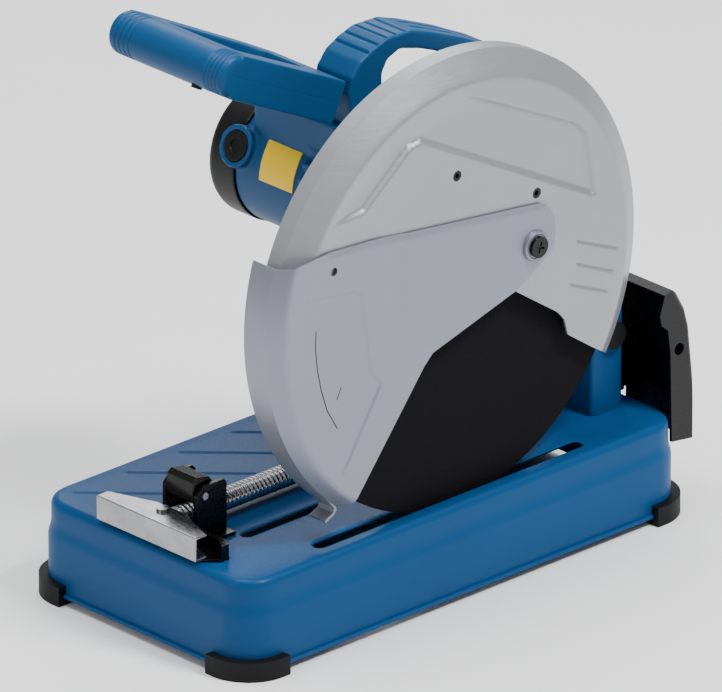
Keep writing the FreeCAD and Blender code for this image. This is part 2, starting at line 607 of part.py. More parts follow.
def trigger():
    """Rocking trigger on the inner side of the grip, hinged at its far end."""
    body = loop_prism([(8.5, 74), (GRIP_R + 2, 75), (GRIP_R + 8, 64), (GRIP_R + 9, 38), (GRIP_R + 5, 30),
                       (8.5, 28)], -7.2, 7.2)
    return body.cut(Part.makeCylinder(1.5 + RUN, 20, loop_point(12, 71, -10), LOOP_N))


def lock_off_button():
    stem = Part.makeCylinder(4.4, 13, loop_point(-2, BUTTON_Y, -6), -LOOP_N)
    collar = Part.makeCylinder(5.8, 3.5, loop_point(-2, BUTTON_Y, -5.2), -LOOP_N)
    return stem.fuse(collar).removeSplitter()


CARRY_TOP = [(-25, 362), (-27, 390), (-24, 403), (-15, 414), (-2, 421), (14, 426), (39, 425),
             (59, 418), (94, 403), (130, 385), (160, 366), (166, 340)]
CARRY_GAP = [(9, 362), (8, 398), (14, 408), (27, 413), (48, 407), (65, 400), (94, 384), (118, 370),
             (134, 352.5), (138, 352)]


def carry_handle():
    """Arched carrying handle over the gearbox, with cross steps on its crown."""
    body = prism_xz(CARRY_TOP + CARRY_GAP[::-1], CARRY_Y0, CARRY_Y1)
    leg = prism_xz([(138, 352), (166, 340), (166, 318), (134, 318), (120, 330)], CARRY_Y0, CARRY_Y0 + 20)
    return body, leg


# ----------------------------------------------------------------- gears ---
def gear_outline(teeth, phase, cx, cz):
    """Involute stub teeth with backlash, as one closed outline."""
    pitch_r = MODULE * teeth / 2
    base_r = pitch_r * math.cos(math.radians(20))
    tip_r, root_r = pitch_r + 0.8 * MODULE, pitch_r - 1.15 * MODULE

    def involute(r):
        if r <= base_r:
            return 0.0
        t = math.acos(base_r / r)
        return math.tan(t) - t

    half = 0.43 * math.pi / teeth
    flank = [max(root_r, base_r), pitch_r, tip_r] if base_r > root_r else [root_r, pitch_r, tip_r]
    pts = []
    for i in range(teeth):
        mid = phase + 2 * math.pi * i / teeth
        side = [(r, half - (involute(r) - involute(pitch_r))) for r in flank]
        for r, a in [(root_r, side[0][1])] + side if base_r > root_r else side:
            pts.append((cx + r * math.cos(mid - a), cz + r * math.sin(mid - a)))
        for r, a in reversed(([(root_r, side[0][1])] + side) if base_r > root_r else side):
            pts.append((cx + r * math.cos(mid + a), cz + r * math.sin(mid + a)))
    return pts


MESH_ANGLE = math.atan2(MOTOR_Z - DISC_Z, MOTOR_X)


def spindle_gear():
    body = prism_xz(gear_outline(GEAR_TEETH, MESH_ANGLE, 0, DISC_Z), -66, -52)
    return body.cut(cyl_y(0, DISC_Z, 10, -70, -50))


def pinion():
    phase = MESH_ANGLE + math.pi + math.pi / PINION_TEETH
    body = prism_xz(gear_outline(PINION_TEETH, phase, MOTOR_X, MOTOR_Z), -66, -51)
    return body.cut(cyl_y(MOTOR_X, MOTOR_Z, 5, -70, -50))


def spindle():
    steps = [(12.6, -97.9, -88), (10, -88, -49), (7, -49, -37.5)]
    body = union([cyl_y(0, DISC_Z, r, y0, y1) for r, y0, y1 in steps])
    return body.cut(cyl_y(0, DISC_Z, 5, -98.5, -85))


def rotor_shaft():
    return union([cyl_y(MOTOR_X, MOTOR_Z, 5, -67, -40), cyl_y(MOTOR_X, MOTOR_Z, 6, -40, 108),
                  cyl_y(MOTOR_X, MOTOR_Z, 5, 108, 121)])


def armature():
    body = cyl_y(MOTOR_X, MOTOR_Z, 28.5, 2, 60)
    for i in range(12):
        x, z = polar(MOTOR_X, MOTOR_Z, 28, 30 * i)
        body = body.cut(cyl_y(x, z, 2, 0, 62))
    return body.cut(cyl_y(MOTOR_X, MOTOR_Z, 6, 0, 62))


def fan():
    hub = ring_y(MOTOR_X, MOTOR_Z, 12, 6, -26, -12)
    disc = ring_y(MOTOR_X, MOTOR_Z, 42, 6, -26, -24)
    blades = []
    for i in range(12):
        blade = box(11, 40, -24, -14, -1, 1)
        blade.rotate(V(0, 0, 0), V(0, 1, 0), 30 * i)
        blade.translate(V(MOTOR_X, 0, MOTOR_Z))
        blades.append(blade)
    return union([hub, disc] + blades)


def spindle_bearings():
    return Part.makeCompound([ring_y(0, DISC_Z, 16, 10 + RUN, -81, -71),
                              ring_y(0, DISC_Z, 14, 7 + RUN, -47, -37.2)])


def rotor_bearings():
    return Part.makeCompound([ring_y(MOTOR_X, MOTOR_Z, 13, 5 + RUN, -48.5, -40.2),
                              ring_y(MOTOR_X, MOTOR_Z, 13, 5 + RUN, 112, 120)])


def commutator():
    body = ring_y(MOTOR_X, MOTOR_Z, 17, 6, 86, 107)
    for i in range(16):
        groove = box(15.5, 18, 85, 108, -0.5, 0.5)
        groove.rotate(V(0, 0, 0), V(0, 1, 0), 22.5 * i + 11)
        groove.translate(V(MOTOR_X, 0, MOTOR_Z))
        body = body.cut(groove)
    return body


def inner_flange():
    return ring_y(0, DISC_Z, 31, 12.6, DISC_Y + DISC_T / 2, DISC_Y + DISC_T / 2 + 5).cut(
        ring_y(0, DISC_Z, 25, 18, DISC_Y, DISC_Y + DISC_T / 2 + 1))


def outer_flange():
    return ring_y(0, DISC_Z, 31, 5, DISC_Y - DISC_T / 2 - 4, DISC_Y - DISC_T / 2).cut(
        ring_y(0, DISC_Z, 25, 16, DISC_Y - DISC_T / 2 - 1, DISC_Y))


def flange_bolt():
    y_face = DISC_Y - DISC_T / 2 - 4
    hexagon = [polar(0, DISC_Z, 9.8, a) for a in range(0, 360, 60)]
    return prism_xz(hexagon, y_face - 4, y_face).fuse(cyl_y(0, DISC_Z, 5, y_face, -85)).removeSplitter()


def spindle_lock_button():
    """Sprung button at the front of the gearbox that holds the spindle."""
    y = -57.0
    return union([cyl_x(y, DISC_Z, 6, -58, -44.5), cyl_x(y, DISC_Z, 9, -64, -58)])


def power_inlet():
    """Cable gland on the motor's end cover; the lead itself is not part of the model."""
    return ring_y(MOTOR_X + GLAND[0], MOTOR_Z + GLAND[1], 9, 4.5, CAP_END_Y - 12, CAP_END_Y)


def guard_spring():
    """Flat spiral return spring of the lower guard, inside the fixed guard."""
    return ring_y(GUARD_PIN_X, GUARD_PIN_Z, 14, 9, GUARD_Y1 + SHEET + 0.2, GUARD_Y1 + SHEET + 4)


# ---------------------------------------------------------------- guards ---
UPPER_EDGE = [(-280, 356), (-140, 303), (-38, 285), (-30, 282), (28, 282), (38, 262), (54, 235),
              (99, 204), (106, 196), (110, 182), (137, 163), (240, 98), (320, 98), (320, 520), (-320, 520)]
LOWER_EDGE = [(-260, 323.5), (-180, 323.5), (-143, 326.5), (-92, 323), (-57, 318), (66, 303.3),
              (79, 301.5), (87, 296), (92.5, 287), (93.5, 275), (91.4, 262), (88, 258), (51.3, 237),
              (-36, 212), (-45.5, 203), (-118, 111.5), (-125.5, 109.6), (-200, 49), (-300, 49)]
STOP_HOLE = (-139.3, 310.0)
HIGH_SCREWS = [(-8.0, 349.0), (76.0, 310.0)]


def upper_guard():
    profile = [(GUARD_R, GUARD_Y0), (GUARD_R, GUARD_CREASE_Y), (GUARD_FLAT_R, GUARD_Y1), (0, GUARD_Y1),
               (0, GUARD_Y1 + SHEET), (GUARD_FLAT_R - 0.8, GUARD_Y1 + SHEET),
               (GUARD_R - SHEET, GUARD_CREASE_Y + 1), (GUARD_R - SHEET, GUARD_Y0)]
    body = revolve_y(profile, 0, DISC_Z)
    body = body.common(prism_xz(UPPER_EDGE, -130, -70))
    for x, z in HIGH_SCREWS:
        body = body.cut(cyl_y(x, z, 4, -115, -105))
    return body.cut(cyl_y(GUARD_PIN_X, GUARD_PIN_Z, 4, -120, -100))


def guard_back_plate():
    disc = cyl_y(0, DISC_Z, GUARD_R - SHEET, GUARD_Y0, GUARD_Y0 + SHEET)
    keep_in = prism_xz([(-280, 356), (-120, 296), (-60, 215), (60, 205), (137, 163), (240, 98),
                        (320, 520), (-320, 520)], -90, -80)
    return disc.common(keep_in).cut(cyl_y(0, DISC_Z, 16, -90, -80))


def lower_guard():
    rise = DISC_Z + LOW_RISE
    profile = [(LOW_R, LOW_Y0), (LOW_R, LOW_CREASE_Y), (LOW_FLAT_R, LOW_Y1), (0, LOW_Y1),
               (0, LOW_Y1 + LOW_SHEET), (LOW_FLAT_R - 0.8, LOW_Y1 + LOW_SHEET),
               (LOW_R - LOW_SHEET, LOW_CREASE_Y + 0.5), (LOW_R - LOW_SHEET, LOW_Y0)]
    body = revolve_y(profile, 0, rise).common(prism_xz(LOWER_EDGE, -130, -70))
    tab = prism_xz([(-134.5, 119), (-125.6, 110), (-124.5, 104), (-127, 101), (-136, 97), (-137, 99),
                    (-128.5, 103), (-127, 106.5), (-136.5, 118)], -102, -85)
    body = body.fuse(tab)
    body = body.fuse(ring_y(GUARD_PIN_X, GUARD_PIN_Z, 12, 5 + RUN, LOW_Y1 - 3, LOW_Y1))
    body = body.cut(cyl_y(GUARD_PIN_X, GUARD_PIN_Z, 5 + RUN, -125, -105))
    body = body.cut(cyl_y(*STOP_HOLE, 3.5, -120, -110))
    return body.removeSplitter()


def guard_pivot():
    """Shouldered screw and its nut, on which the lower guard turns."""
    parts = [cyl_y(GUARD_PIN_X, GUARD_PIN_Z, 8.5, LOW_Y1 - 6, LOW_Y1 - 3.2),
             cyl_y(GUARD_PIN_X, GUARD_PIN_Z, 5, LOW_Y1 - 3.2, GUARD_Y1),
             cyl_y(GUARD_PIN_X, GUARD_PIN_Z, 4, GUARD_Y1, GUARD_Y1 + 8)]
    body = union(parts)
    for a in (0, 90):
        cross = box(-4.5, 4.5, LOW_Y1 - 7, LOW_Y1 - 4.6, -0.8, 0.8)
        cross.rotate(V(0, 0, 0), V(0, 1, 0), a + 20)
        cross.translate(V(GUARD_PIN_X, 0, GUARD_PIN_Z))
        body = body.cut(cross)
    nut = ring_y(GUARD_PIN_X, GUARD_PIN_Z, 7.5, 4, GUARD_Y1 + SHEET, GUARD_Y1 + SHEET + 5)
    return Part.makeCompound([body, nut])


def guard_screws():
    screws = []
    for x, z in HIGH_SCREWS:
        body = cyl_y(x, z, 4, GUARD_Y1 + 0.3, GUARD_Y1 + SHEET).fuse(
            cyl_y(x, z, 6.5, GUARD_Y1 + SHEET, GUARD_Y1 + SHEET + 4)).removeSplitter()
        screws.append(body.cut(cyl_y(x, z, 2.0, GUARD_Y1 - 1, GUARD_Y1 + 2.5)))
    return Part.makeCompound(screws)


# ------------------------------------------------------------------ main ---
def build_base():
    keep("base_shell", base_shell())
    for name, sx, sy in (("foot_front_right", -1, -1), ("foot_front_left", -1, 1),
                         ("foot_rear_right", 1, -1), ("foot_rear_left", 1, 1)):
        keep(name, foot(sx, sy))
    keep("column", column())
    keep("column_bolts", column_bolts())
    keep("pivot_shaft", cyl_y(PIVOT_X, PIVOT_Z, SHAFT_R, EAR_R_Y[0] - 2, EAR_L_Y[1] + 3))
    keep("pivot_caps", pivot_caps())
    keep("spark_hood", spark_hood())
    keep("hood_screws", hood_screws())
    keep("vise_bracket", vise_bracket())
    keep("vise_shoe", vise_shoe())
    keep("bracket_bolts", bracket_bolts())
    keep("lever_pin", lever_pin())
    keep("depth_stop", depth_stop())
    keep("lock_pin", lock_pin())


def build_vise():
    keep("release_lever", release_lever())
    keep("vise_screw", vise_screw())
    keep("vise_handle", vise_handle())
    keep("handle_rivet", handle_rivet())
    keep("clamp_foot", clamp_foot())
    keep("fence", fence())
    keep("fence_bolts", fence_bolts())


def build_arm():
    keep("gear_housing", gear_housing())
    keep("arm_casting", arm_casting())
    keep("return_spring", return_spring())
    keep("motor_housing", motor_housing())
    gland_hole = cyl_y(MOTOR_X + GLAND[0], MOTOR_Z + GLAND[1], 9, CAP_END_Y - 12, CAP_END_Y + 1)
    keep("end_cap", end_cap().cut(NODES["motor_housing"]).cut(gland_hole))
    keep("power_inlet", power_inlet())
    caps, brushes = brush_parts()
    keep("brush_caps", caps)
    keep("carbon_brushes", brushes)
    keep("stator", stator())
    keep("label_plate", label_plate().cut(NODES["motor_housing"]))
    keep("upper_guard", upper_guard())
    keep("guard_back_plate", guard_back_plate())
    keep("guard_screws", guard_screws())
    keep("guard_pivot_screw", guard_pivot())
    keep("guard_spring", guard_spring())
    keep("lower_guard", lower_guard())
    keep("spindle_lock_button", spindle_lock_button())


def build_handles():
    upper, lower = handle_parts()
    body, leg = carry_handle()
    carry = body.fuse(leg).removeSplitter().cut(NODES["motor_housing"]).cut(NODES["arm_casting"])
    carry = carry.cut(oval_xz(0, DISC_Z, 50, MOTOR_X, MOTOR_Z, MOTOR_R, -90, 10))
    keep("carry_handle", carry)
    keep("loop_handle_upper", upper.cut(carry))
    keep("loop_handle_lower", lower.cut(carry))
    keep("switch_block", switch_block())
    keep("trigger", trigger())
    keep("lock_off_button", lock_off_button())


def build_drive():
    keep("abrasive_disc", ring_y(0, DISC_Z, DISC_D / 2, BORE_D / 2, DISC_Y - DISC_T / 2, DISC_Y + DISC_T / 2))
    keep("inner_flange", inner_flange())
    keep("outer_flange", outer_flange())
    keep("flange_bolt", flange_bolt())
    keep("spindle", spindle())
    keep("spindle_gear", spindle_gear())
    keep("rotor_shaft", rotor_shaft())
    keep("pinion", pinion())
    keep("armature", armature())
    keep("commutator", commutator())
    keep("fan", fan())
    keep("spindle_bearings", spindle_bearings())
    keep("rotor_bearings", rotor_bearings())


if __name__ == "__main__":
    os.makedirs("parts", exist_ok=True)
    build_base()
    build_vise()
    build_arm()
    build_handles()
    build_drive()
    for name, shape in NODES.items():
        shape.exportStep("parts/" + name + ".step")
        print(name, shape.isValid(), len(shape.Solids), round(shape.Volume))
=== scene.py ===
import bpy
import bmesh
import json
import math
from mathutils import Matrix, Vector
from mathutils.geometry import delaunay_2d_cdt


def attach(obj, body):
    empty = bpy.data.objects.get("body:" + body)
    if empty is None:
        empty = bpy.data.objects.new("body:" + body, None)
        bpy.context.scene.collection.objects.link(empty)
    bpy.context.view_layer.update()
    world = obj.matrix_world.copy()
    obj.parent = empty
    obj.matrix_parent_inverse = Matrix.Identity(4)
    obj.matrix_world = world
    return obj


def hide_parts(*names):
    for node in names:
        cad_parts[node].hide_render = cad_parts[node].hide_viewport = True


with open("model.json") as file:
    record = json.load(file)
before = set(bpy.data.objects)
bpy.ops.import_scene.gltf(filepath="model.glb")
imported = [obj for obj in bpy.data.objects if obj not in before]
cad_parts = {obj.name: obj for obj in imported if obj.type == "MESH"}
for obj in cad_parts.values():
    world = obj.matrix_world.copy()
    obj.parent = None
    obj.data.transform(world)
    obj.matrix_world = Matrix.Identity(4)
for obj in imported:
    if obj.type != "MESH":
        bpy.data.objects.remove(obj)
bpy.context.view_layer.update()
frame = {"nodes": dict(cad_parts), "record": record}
nodes = frame["nodes"]
MM = 0.001


# ------------------------------------------------------------- camera -------
def make_camera():
    """Long lens, far back, at the product view's angle."""
    data = bpy.data.cameras.new("main_camera")
    data.lens = 828.4
    data.sensor_width = 36.0
    data.clip_start = 1.0
    data.clip_end = 60.0
    cam = bpy.data.objects.new("main_camera", data)
    cam.location = (-8.0169, -8.4571, 5.3164)
    aim = Vector((0.0410, 0.0458, 0.1428))
    cam.rotation_euler = (aim - cam.location).to_track_quat("-Z", "Y").to_euler()
    bpy.context.scene.collection.objects.link(cam)
    bpy.context.scene.camera = cam


def area_light(name, location, target, size, power):
    data = bpy.data.lights.new(name, "AREA")
    data.shape = "RECTANGLE"
    data.size, data.size_y = size
    data.energy = power
    lamp = bpy.data.objects.new(name, data)
    lamp.location = location
    aim = Vector(target) - Vector(location)
    lamp.rotation_euler = aim.to_track_quat("-Z", "Y").to_euler()
    bpy.context.scene.collection.objects.link(lamp)


def make_studio():
    world = bpy.data.worlds.new("studio")
    world.use_nodes = True
    back = world.node_tree.nodes["Background"]
    back.inputs["Color"].default_value = (0.93, 0.95, 1.0, 1)
    back.inputs["Strength"].default_value = 0.42
    bpy.context.scene.world = world
    area_light("key", (0.5, -1.5, 2.5), (0, 0, 0.2), (0.6, 0.6), 84)
    area_light("top", (-0.3, 0.3, 2.6), (0, 0, 0.2), (1.4, 1.2), 48)
    area_light("side", (-2.2, 0.2, 0.9), (-0.1, 0, 0.15), (1.0, 0.7), 9)
    area_light("rim", (1.3, 1.6, 1.5), (0.05, 0, 0.25), (1.2, 1.0), 16)
    mesh = bpy.data.meshes.new("floor")
    bm = bmesh.new()
    bmesh.ops.create_grid(bm, x_segments=8, y_segments=8, size=9)
    bm.to_mesh(mesh)
    bm.free()
    floor = bpy.data.objects.new("floor", mesh)
    bpy.context.scene.collection.objects.link(floor)
    floor.data.materials.append(finish("floor_paint", (0.95, 0.95, 0.95), rough=0.85, bump=0.01,
                                       scale=60, vary=0.008))


# ----------------------------------------------------------- materials ------
class Graph:
    """Small helper round a material's node tree."""

    def __init__(self, name):
        self.material = bpy.data.materials.new(name)
        self.material.use_nodes = True
        self.tree = self.material.node_tree
        self.shader = self.tree.nodes["Principled BSDF"]
        self.place = self.add("ShaderNodeTexCoord").outputs["Object"]

    def add(self, kind, **values):
        node = self.tree.nodes.new(kind)
        for key, value in values.items():
            if hasattr(node, key):
                setattr(node, key, value)
            else:
                node.inputs[key].default_value = value
        return node

    def link(self, a, b):
        self.tree.links.new(a, b)

    def stretched(self, scale):
        mapping = self.add("ShaderNodeMapping")
        mapping.inputs["Scale"].default_value = scale
        self.link(self.place, mapping.inputs["Vector"])
        return mapping.outputs["Vector"]

    def noise(self, scale, detail=3.0, stretch=None, rough=0.55):
        node = self.add("ShaderNodeTexNoise")
        node.inputs["Scale"].default_value = scale
        node.inputs["Detail"].default_value = detail
        node.inputs["Roughness"].default_value = rough
        self.link(self.stretched(stretch) if stretch else self.place, node.inputs["Vector"])
        return node.outputs["Fac"]

    def ramp(self, value, low, high, a, b):
        """Map value between low and high to colours a to b."""
        node = self.add("ShaderNodeValToRGB")
        node.color_ramp.elements[0].position = low
        node.color_ramp.elements[1].position = high
        node.color_ramp.elements[0].color = (*a, 1)
        node.color_ramp.elements[1].color = (*b, 1)
        self.link(value, node.inputs["Fac"])
        return node.outputs["Color"]

    def remap(self, value, low, high, to_low, to_high):
        node = self.add("ShaderNodeMapRange")
        for key, number in (("From Min", low), ("From Max", high), ("To Min", to_low), ("To Max", to_high)):
            node.inputs[key].default_value = number
        self.link(value, node.inputs["Value"])
        return node.outputs["Result"]

    def mix(self, factor, a, b, blend="MIX"):
        node = self.add("ShaderNodeMix")
        node.data_type = "RGBA"
        node.blend_type = blend
        if isinstance(factor, float):
            node.inputs[0].default_value = factor
        else:
            self.link(factor, node.inputs[0])
        self.link(a, node.inputs[6])
        self.link(b, node.inputs[7])
        return node.outputs[2]

    def edge_wear(self, strength):
        """Bright where the surface is convex: worn edges and corners."""
        geometry = self.add("ShaderNodeNewGeometry")
        return self.remap(geometry.outputs["Pointiness"], 0.53, 0.60, 0.0, strength)

    def bump(self, height, distance, strength=1.0, under=None):
        node = self.add("ShaderNodeBump")
        node.inputs["Strength"].default_value = strength
        node.inputs["Distance"].default_value = distance
        self.link(height, node.inputs["Height"])
        if under:
            self.link(under, node.inputs["Normal"])
        return node.outputs["Normal"]

    def set(self, **values):
        for key, value in values.items():
            self.shader.inputs[key.replace("_", " ")].default_value = value


def shade(colour, factor):
    return tuple(min(1.0, c * factor) for c in colour)


def finish(name, colour, rough, bump, scale, vary=0.10, spec=0.5, wear=0.0):
    """General finish: colour and roughness that vary softly, with a fine grain."""
    g = Graph(name)
    soft = g.noise(14.0, 4.0)
    grain = g.noise(scale, 2.0)
    colour_out = g.ramp(soft, 0.3, 0.7, shade(colour, 1 - vary), shade(colour, 1 + vary))
    if wear:
        worn = g.ramp(grain, 0.3, 0.7, shade(colour, 1.5), shade(colour, 1.9))
        colour_out = g.mix(g.edge_wear(wear), colour_out, worn)
    g.link(colour_out, g.shader.inputs["Base Color"])
    g.link(g.remap(grain, 0.3, 0.7, max(rough - 0.05, 0.02), rough + 0.06), g.shader.inputs["Roughness"])
    g.link(g.bump(grain, 0.0004, bump), g.shader.inputs["Normal"])
    g.shader.inputs["Specular IOR Level"].default_value = spec
    return g.material


def painted(name, colour, rough, coat):
    """Sprayed paint on pressed steel: orange peel, slight mottling, worn edges."""
    g = Graph(name)
    broad = g.noise(6.0, 3.0)
    peel = g.noise(520.0, 1.0)
    dust = g.noise(2200.0, 0.0)
    base = g.ramp(broad, 0.3, 0.7, shade(colour, 0.93), shade(colour, 1.07))
    worn = g.ramp(dust, 0.4, 0.6, shade(colour, 1.25), shade(colour, 1.5))
    g.link(g.mix(g.edge_wear(0.5), base, worn), g.shader.inputs["Base Color"])
    g.link(g.remap(peel, 0.3, 0.7, rough - 0.04, rough + 0.05), g.shader.inputs["Roughness"])
    g.link(g.bump(peel, 0.0003, 0.10, g.bump(dust, 0.0001, 0.05)), g.shader.inputs["Normal"])
    g.set(Coat_Weight=coat, Coat_Roughness=0.12)
    g.shader.inputs["Specular IOR Level"].default_value = 0.15
    return g.material


def sheet_metal(name, colour, rough, metal, streak):
    """Silver powder coat on sheet: fine metallic flake and faint brushing."""
    g = Graph(name)
    broad = g.noise(5.0, 3.0)
    flake = g.noise(2600.0, 0.0)
    brushed = g.noise(60.0, 4.0, streak)
    base = g.ramp(broad, 0.3, 0.7, shade(colour, 0.965), shade(colour, 1.03))
    fine = g.ramp(flake, 0.3, 0.7, (0.93, 0.93, 0.94), (1.0, 1.0, 1.0))
    g.link(g.mix(1.0, base, fine, "MULTIPLY"), g.shader.inputs["Base Color"])
    g.link(g.remap(brushed, 0.3, 0.7, rough - 0.05, rough + 0.06), g.shader.inputs["Roughness"])
    g.link(g.bump(flake, 0.00012, 0.10, g.bump(brushed, 0.0002, 0.04)), g.shader.inputs["Normal"])
    g.set(Metallic=metal)
    return g.material


def turned_metal(name, colour, rough):
    """Bare or plated steel with fine machining marks and a little grime."""
    g = Graph(name)
    broad = g.noise(35.0, 4.0)
    marks = g.noise(900.0, 3.0, (1.0, 0.15, 1.0))
    base = g.ramp(broad, 0.35, 0.7, shade(colour, 0.78), shade(colour, 1.05))
    g.link(base, g.shader.inputs["Base Color"])
    g.link(g.remap(marks, 0.3, 0.7, rough - 0.06, rough + 0.10), g.shader.inputs["Roughness"])
    g.link(g.bump(marks, 0.0002, 0.10), g.shader.inputs["Normal"])
    g.set(Metallic=1.0)
    return g.material


def abrasive(name):
    """Bonded grit, with the woven glass mesh just showing through."""
    g = Graph(name)
    grit = g.add("ShaderNodeTexVoronoi")
    grit.inputs["Scale"].default_value = 1100.0
    g.link(g.place, grit.inputs["Vector"])
    coarse = g.noise(480.0, 4.0)
    weave_a = g.add("ShaderNodeTexWave", bands_direction="X")
    weave_b = g.add("ShaderNodeTexWave", bands_direction="Z")
    for wave in (weave_a, weave_b):
        wave.inputs["Scale"].default_value = 62.0
        wave.inputs["Distortion"].default_value = 0.4
        g.link(g.place, wave.inputs["Vector"])
    mesh = g.add("ShaderNodeMath", operation="MAXIMUM")
    g.link(weave_a.outputs["Fac"], mesh.inputs[0])
    g.link(weave_b.outputs["Fac"], mesh.inputs[1])
    net = g.remap(mesh.outputs[0], 0.90, 1.0, 0.0, 0.16)
    base = g.ramp(coarse, 0.35, 0.68, (0.0025, 0.0022, 0.0032), (0.006, 0.0056, 0.0080))
    thread = g.ramp(coarse, 0.3, 0.7, (0.007, 0.007, 0.009), (0.011, 0.011, 0.013))
    g.link(g.mix(net, base, thread), g.shader.inputs["Base Color"])
    g.link(g.remap(coarse, 0.3, 0.7, 0.72, 0.95), g.shader.inputs["Roughness"])
    normal = g.bump(grit.outputs["Distance"], 0.0005, 0.5, g.bump(net, 0.0003, 0.4))
    g.link(normal, g.shader.inputs["Normal"])
    g.shader.inputs["Specular IOR Level"].default_value = 0.12
    return g.material


def make_materials():
    blue = (0.0, 0.055, 0.172)
    return {
        "blue_paint": painted("blue_paint", blue, 0.44, 0.03),
        "blue_plastic": finish("blue_plastic", (0.0, 0.056, 0.160), 0.46, bump=0.16, scale=1500, vary=0.05,
                               spec=0.25, wear=0.35),
        "black_plastic": finish("black_plastic", (0.0025, 0.0025, 0.003), 0.45, bump=0.2, scale=1300,
                                spec=0.25, wear=0.3),
        "black_metal": finish("black_metal", (0.002, 0.002, 0.0025), 0.27, bump=0.12, scale=700, wear=0.4,
                              spec=0.25),
        "rubber": finish("rubber", (0.003, 0.003, 0.0035), 0.58, bump=0.25, scale=900, wear=0.25, spec=0.2),
        "guard_metal": sheet_metal("guard_metal", (0.33, 0.34, 0.36), 0.38, 0.5, (1.0, 1.0, 12.0)),
        "lower_guard_metal": sheet_metal("lower_guard_metal", (0.25, 0.26, 0.31), 0.36, 0.55,
                                         (1.0, 1.0, 12.0)),
        "steel": turned_metal("steel", (0.62, 0.62, 0.63), 0.26),
        "zinc": turned_metal("zinc", (0.33, 0.33, 0.34), 0.28),
        "cast_metal": finish("cast_metal", (0.0, 0.052, 0.150), 0.45, bump=0.5, scale=420, vary=0.08,
                             spec=0.25, wear=0.2),
        "abrasive": abrasive("abrasive"),
        "copper": turned_metal("copper", (0.72, 0.32, 0.16), 0.3),
        "yellow_label": finish("yellow_label", (0.90, 0.58, 0.0), 0.38, bump=0.05, scale=900, vary=0.04),
        "carbon": finish("carbon", (0.02, 0.02, 0.02), 0.7, bump=0.3, scale=900),
    }


# --------------------------------------------------------------- pieces -----
def add_piece(name, bm, material, body, slot, *stands_for):
    """Turn mesh code into a piece that rides on a body and stands for nodes."""
    mesh = bpy.data.meshes.new(name)
    bmesh.ops.recalc_face_normals(bm, faces=bm.faces)
    bm.to_mesh(mesh)
    bm.free()
    return adopt(name, mesh, material, body, slot, *stands_for)


def adopt(name, mesh, material, body, slot, *stands_for):
    mesh.materials.clear()
    mesh.materials.append(materials[material])
    for polygon in mesh.polygons:
        polygon.use_smooth = True
    mesh.set_sharp_from_angle(angle=math.radians(32))
    piece = bpy.data.objects.new(name, mesh)
    bpy.context.scene.collection.objects.link(piece)
    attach(piece, body)
    if stands_for:
        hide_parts(*stands_for)
    return piece


def settled(source, steps):
    """Copy a mesh through a list of modifiers and return the new mesh."""
    probe = bpy.data.objects.new("probe", source)
    bpy.context.scene.collection.objects.link(probe)
    for kind, values in steps:
        modifier = probe.modifiers.new(kind.lower(), kind)
        for key, value in values.items():
            setattr(modifier, key, value)
    graph = bpy.context.evaluated_depsgraph_get()
    mesh = bpy.data.meshes.new_from_object(probe.evaluated_get(graph))
    bpy.data.objects.remove(probe)
    return mesh


def moulded(node, name, voxel, body, slot, extra=None, passes=5, reshape=None):
    """A housing with rounded edges: the node's solid, with added and cut detail, remeshed."""
    bm = bmesh.new()
    bm.from_mesh(nodes[node].data)
    bmesh.ops.remove_doubles(bm, verts=bm.verts, dist=1e-6)
    if extra:
        extra(bm)
    source = bpy.data.meshes.new(name + "_source")
    bm.to_mesh(source)
    bm.free()
    steps = [("REMESH", {"mode": "VOXEL", "voxel_size": voxel * MM})]
    steps.append(("SMOOTH", {"factor": 0.5, "iterations": passes}))
    mesh = settled(source, steps)
    if reshape:
        moves = [reshape(v.co / MM, v.normal) for v in mesh.vertices]
        for v, move in zip(mesh.vertices, moves):
            v.co += move * MM
    return adopt(name, mesh, slot, body, slot, node)


def block(bm, x0, x1, y0, y1, z0, z1):
    """Box in millimetres, to be merged into a remeshed housing."""
    made = bmesh.ops.create_cube(bm, size=1.0)["verts"]
    for v in made:
        v.co = Vector(((x0 + x1) / 2 + v.co.x * (x1 - x0), (y0 + y1) / 2 + v.co.y * (y1 - y0),
                       (z0 + z1) / 2 + v.co.z * (z1 - z0)))
    bmesh.ops.scale(bm, verts=made, vec=(MM, MM, MM))
    return made


def lathe(bm, profile, centre, axis, steps=64):
    """Turn (radius, along) points in millimetres about an axis through centre."""
    axis = Vector(axis).normalized()
    side = axis.orthogonal().normalized()
    other = axis.cross(side)
    rings = []
    for i in range(steps):
        a = 2 * math.pi * i / steps
        spoke = side * math.cos(a) + other * math.sin(a)
        rings.append([bm.verts.new((Vector(centre) + axis * t + spoke * max(r, 0.001)) * MM)
                      for r, t in profile])
    for i in range(steps):
        first, second = rings[i], rings[(i + 1) % steps]
        for j in range(len(profile) - 1):
            bm.faces.new((first[j], first[j + 1], second[j + 1], second[j]))


def prism(bm, outline, low, high, plane="XZ"):
    """Extrude a closed outline in millimetres between two levels."""
    def place(a, b, level):
        return Vector((a, level, b)) * MM if plane == "XZ" else Vector((a, b, level)) * MM
    bottom = [bm.verts.new(place(a, b, low)) for a, b in outline]
    top = [bm.verts.new(place(a, b, high)) for a, b in outline]
    bm.faces.new(bottom)
    bm.faces.new(top[::-1])
    for i in range(len(outline)):
        j = (i + 1) % len(outline)
        bm.faces.new((bottom[i], top[i], top[j], bottom[j]))


def smoothstep(a, b, x):
    t = min(1.0, max(0.0, (x - a) / (b - a)))
    return t * t * (3 - 2 * t)


def segment_distance(p, a, b):
    ax, ay = b[0] - a[0], b[1] - a[1]
    t = ((p[0] - a[0]) * ax + (p[1] - a[1]) * ay) / (ax * ax + ay * ay)
    t = min(1.0, max(0.0, t))
    return math.hypot(p[0] - a[0] - ax * t, p[1] - a[1] - ay * t)


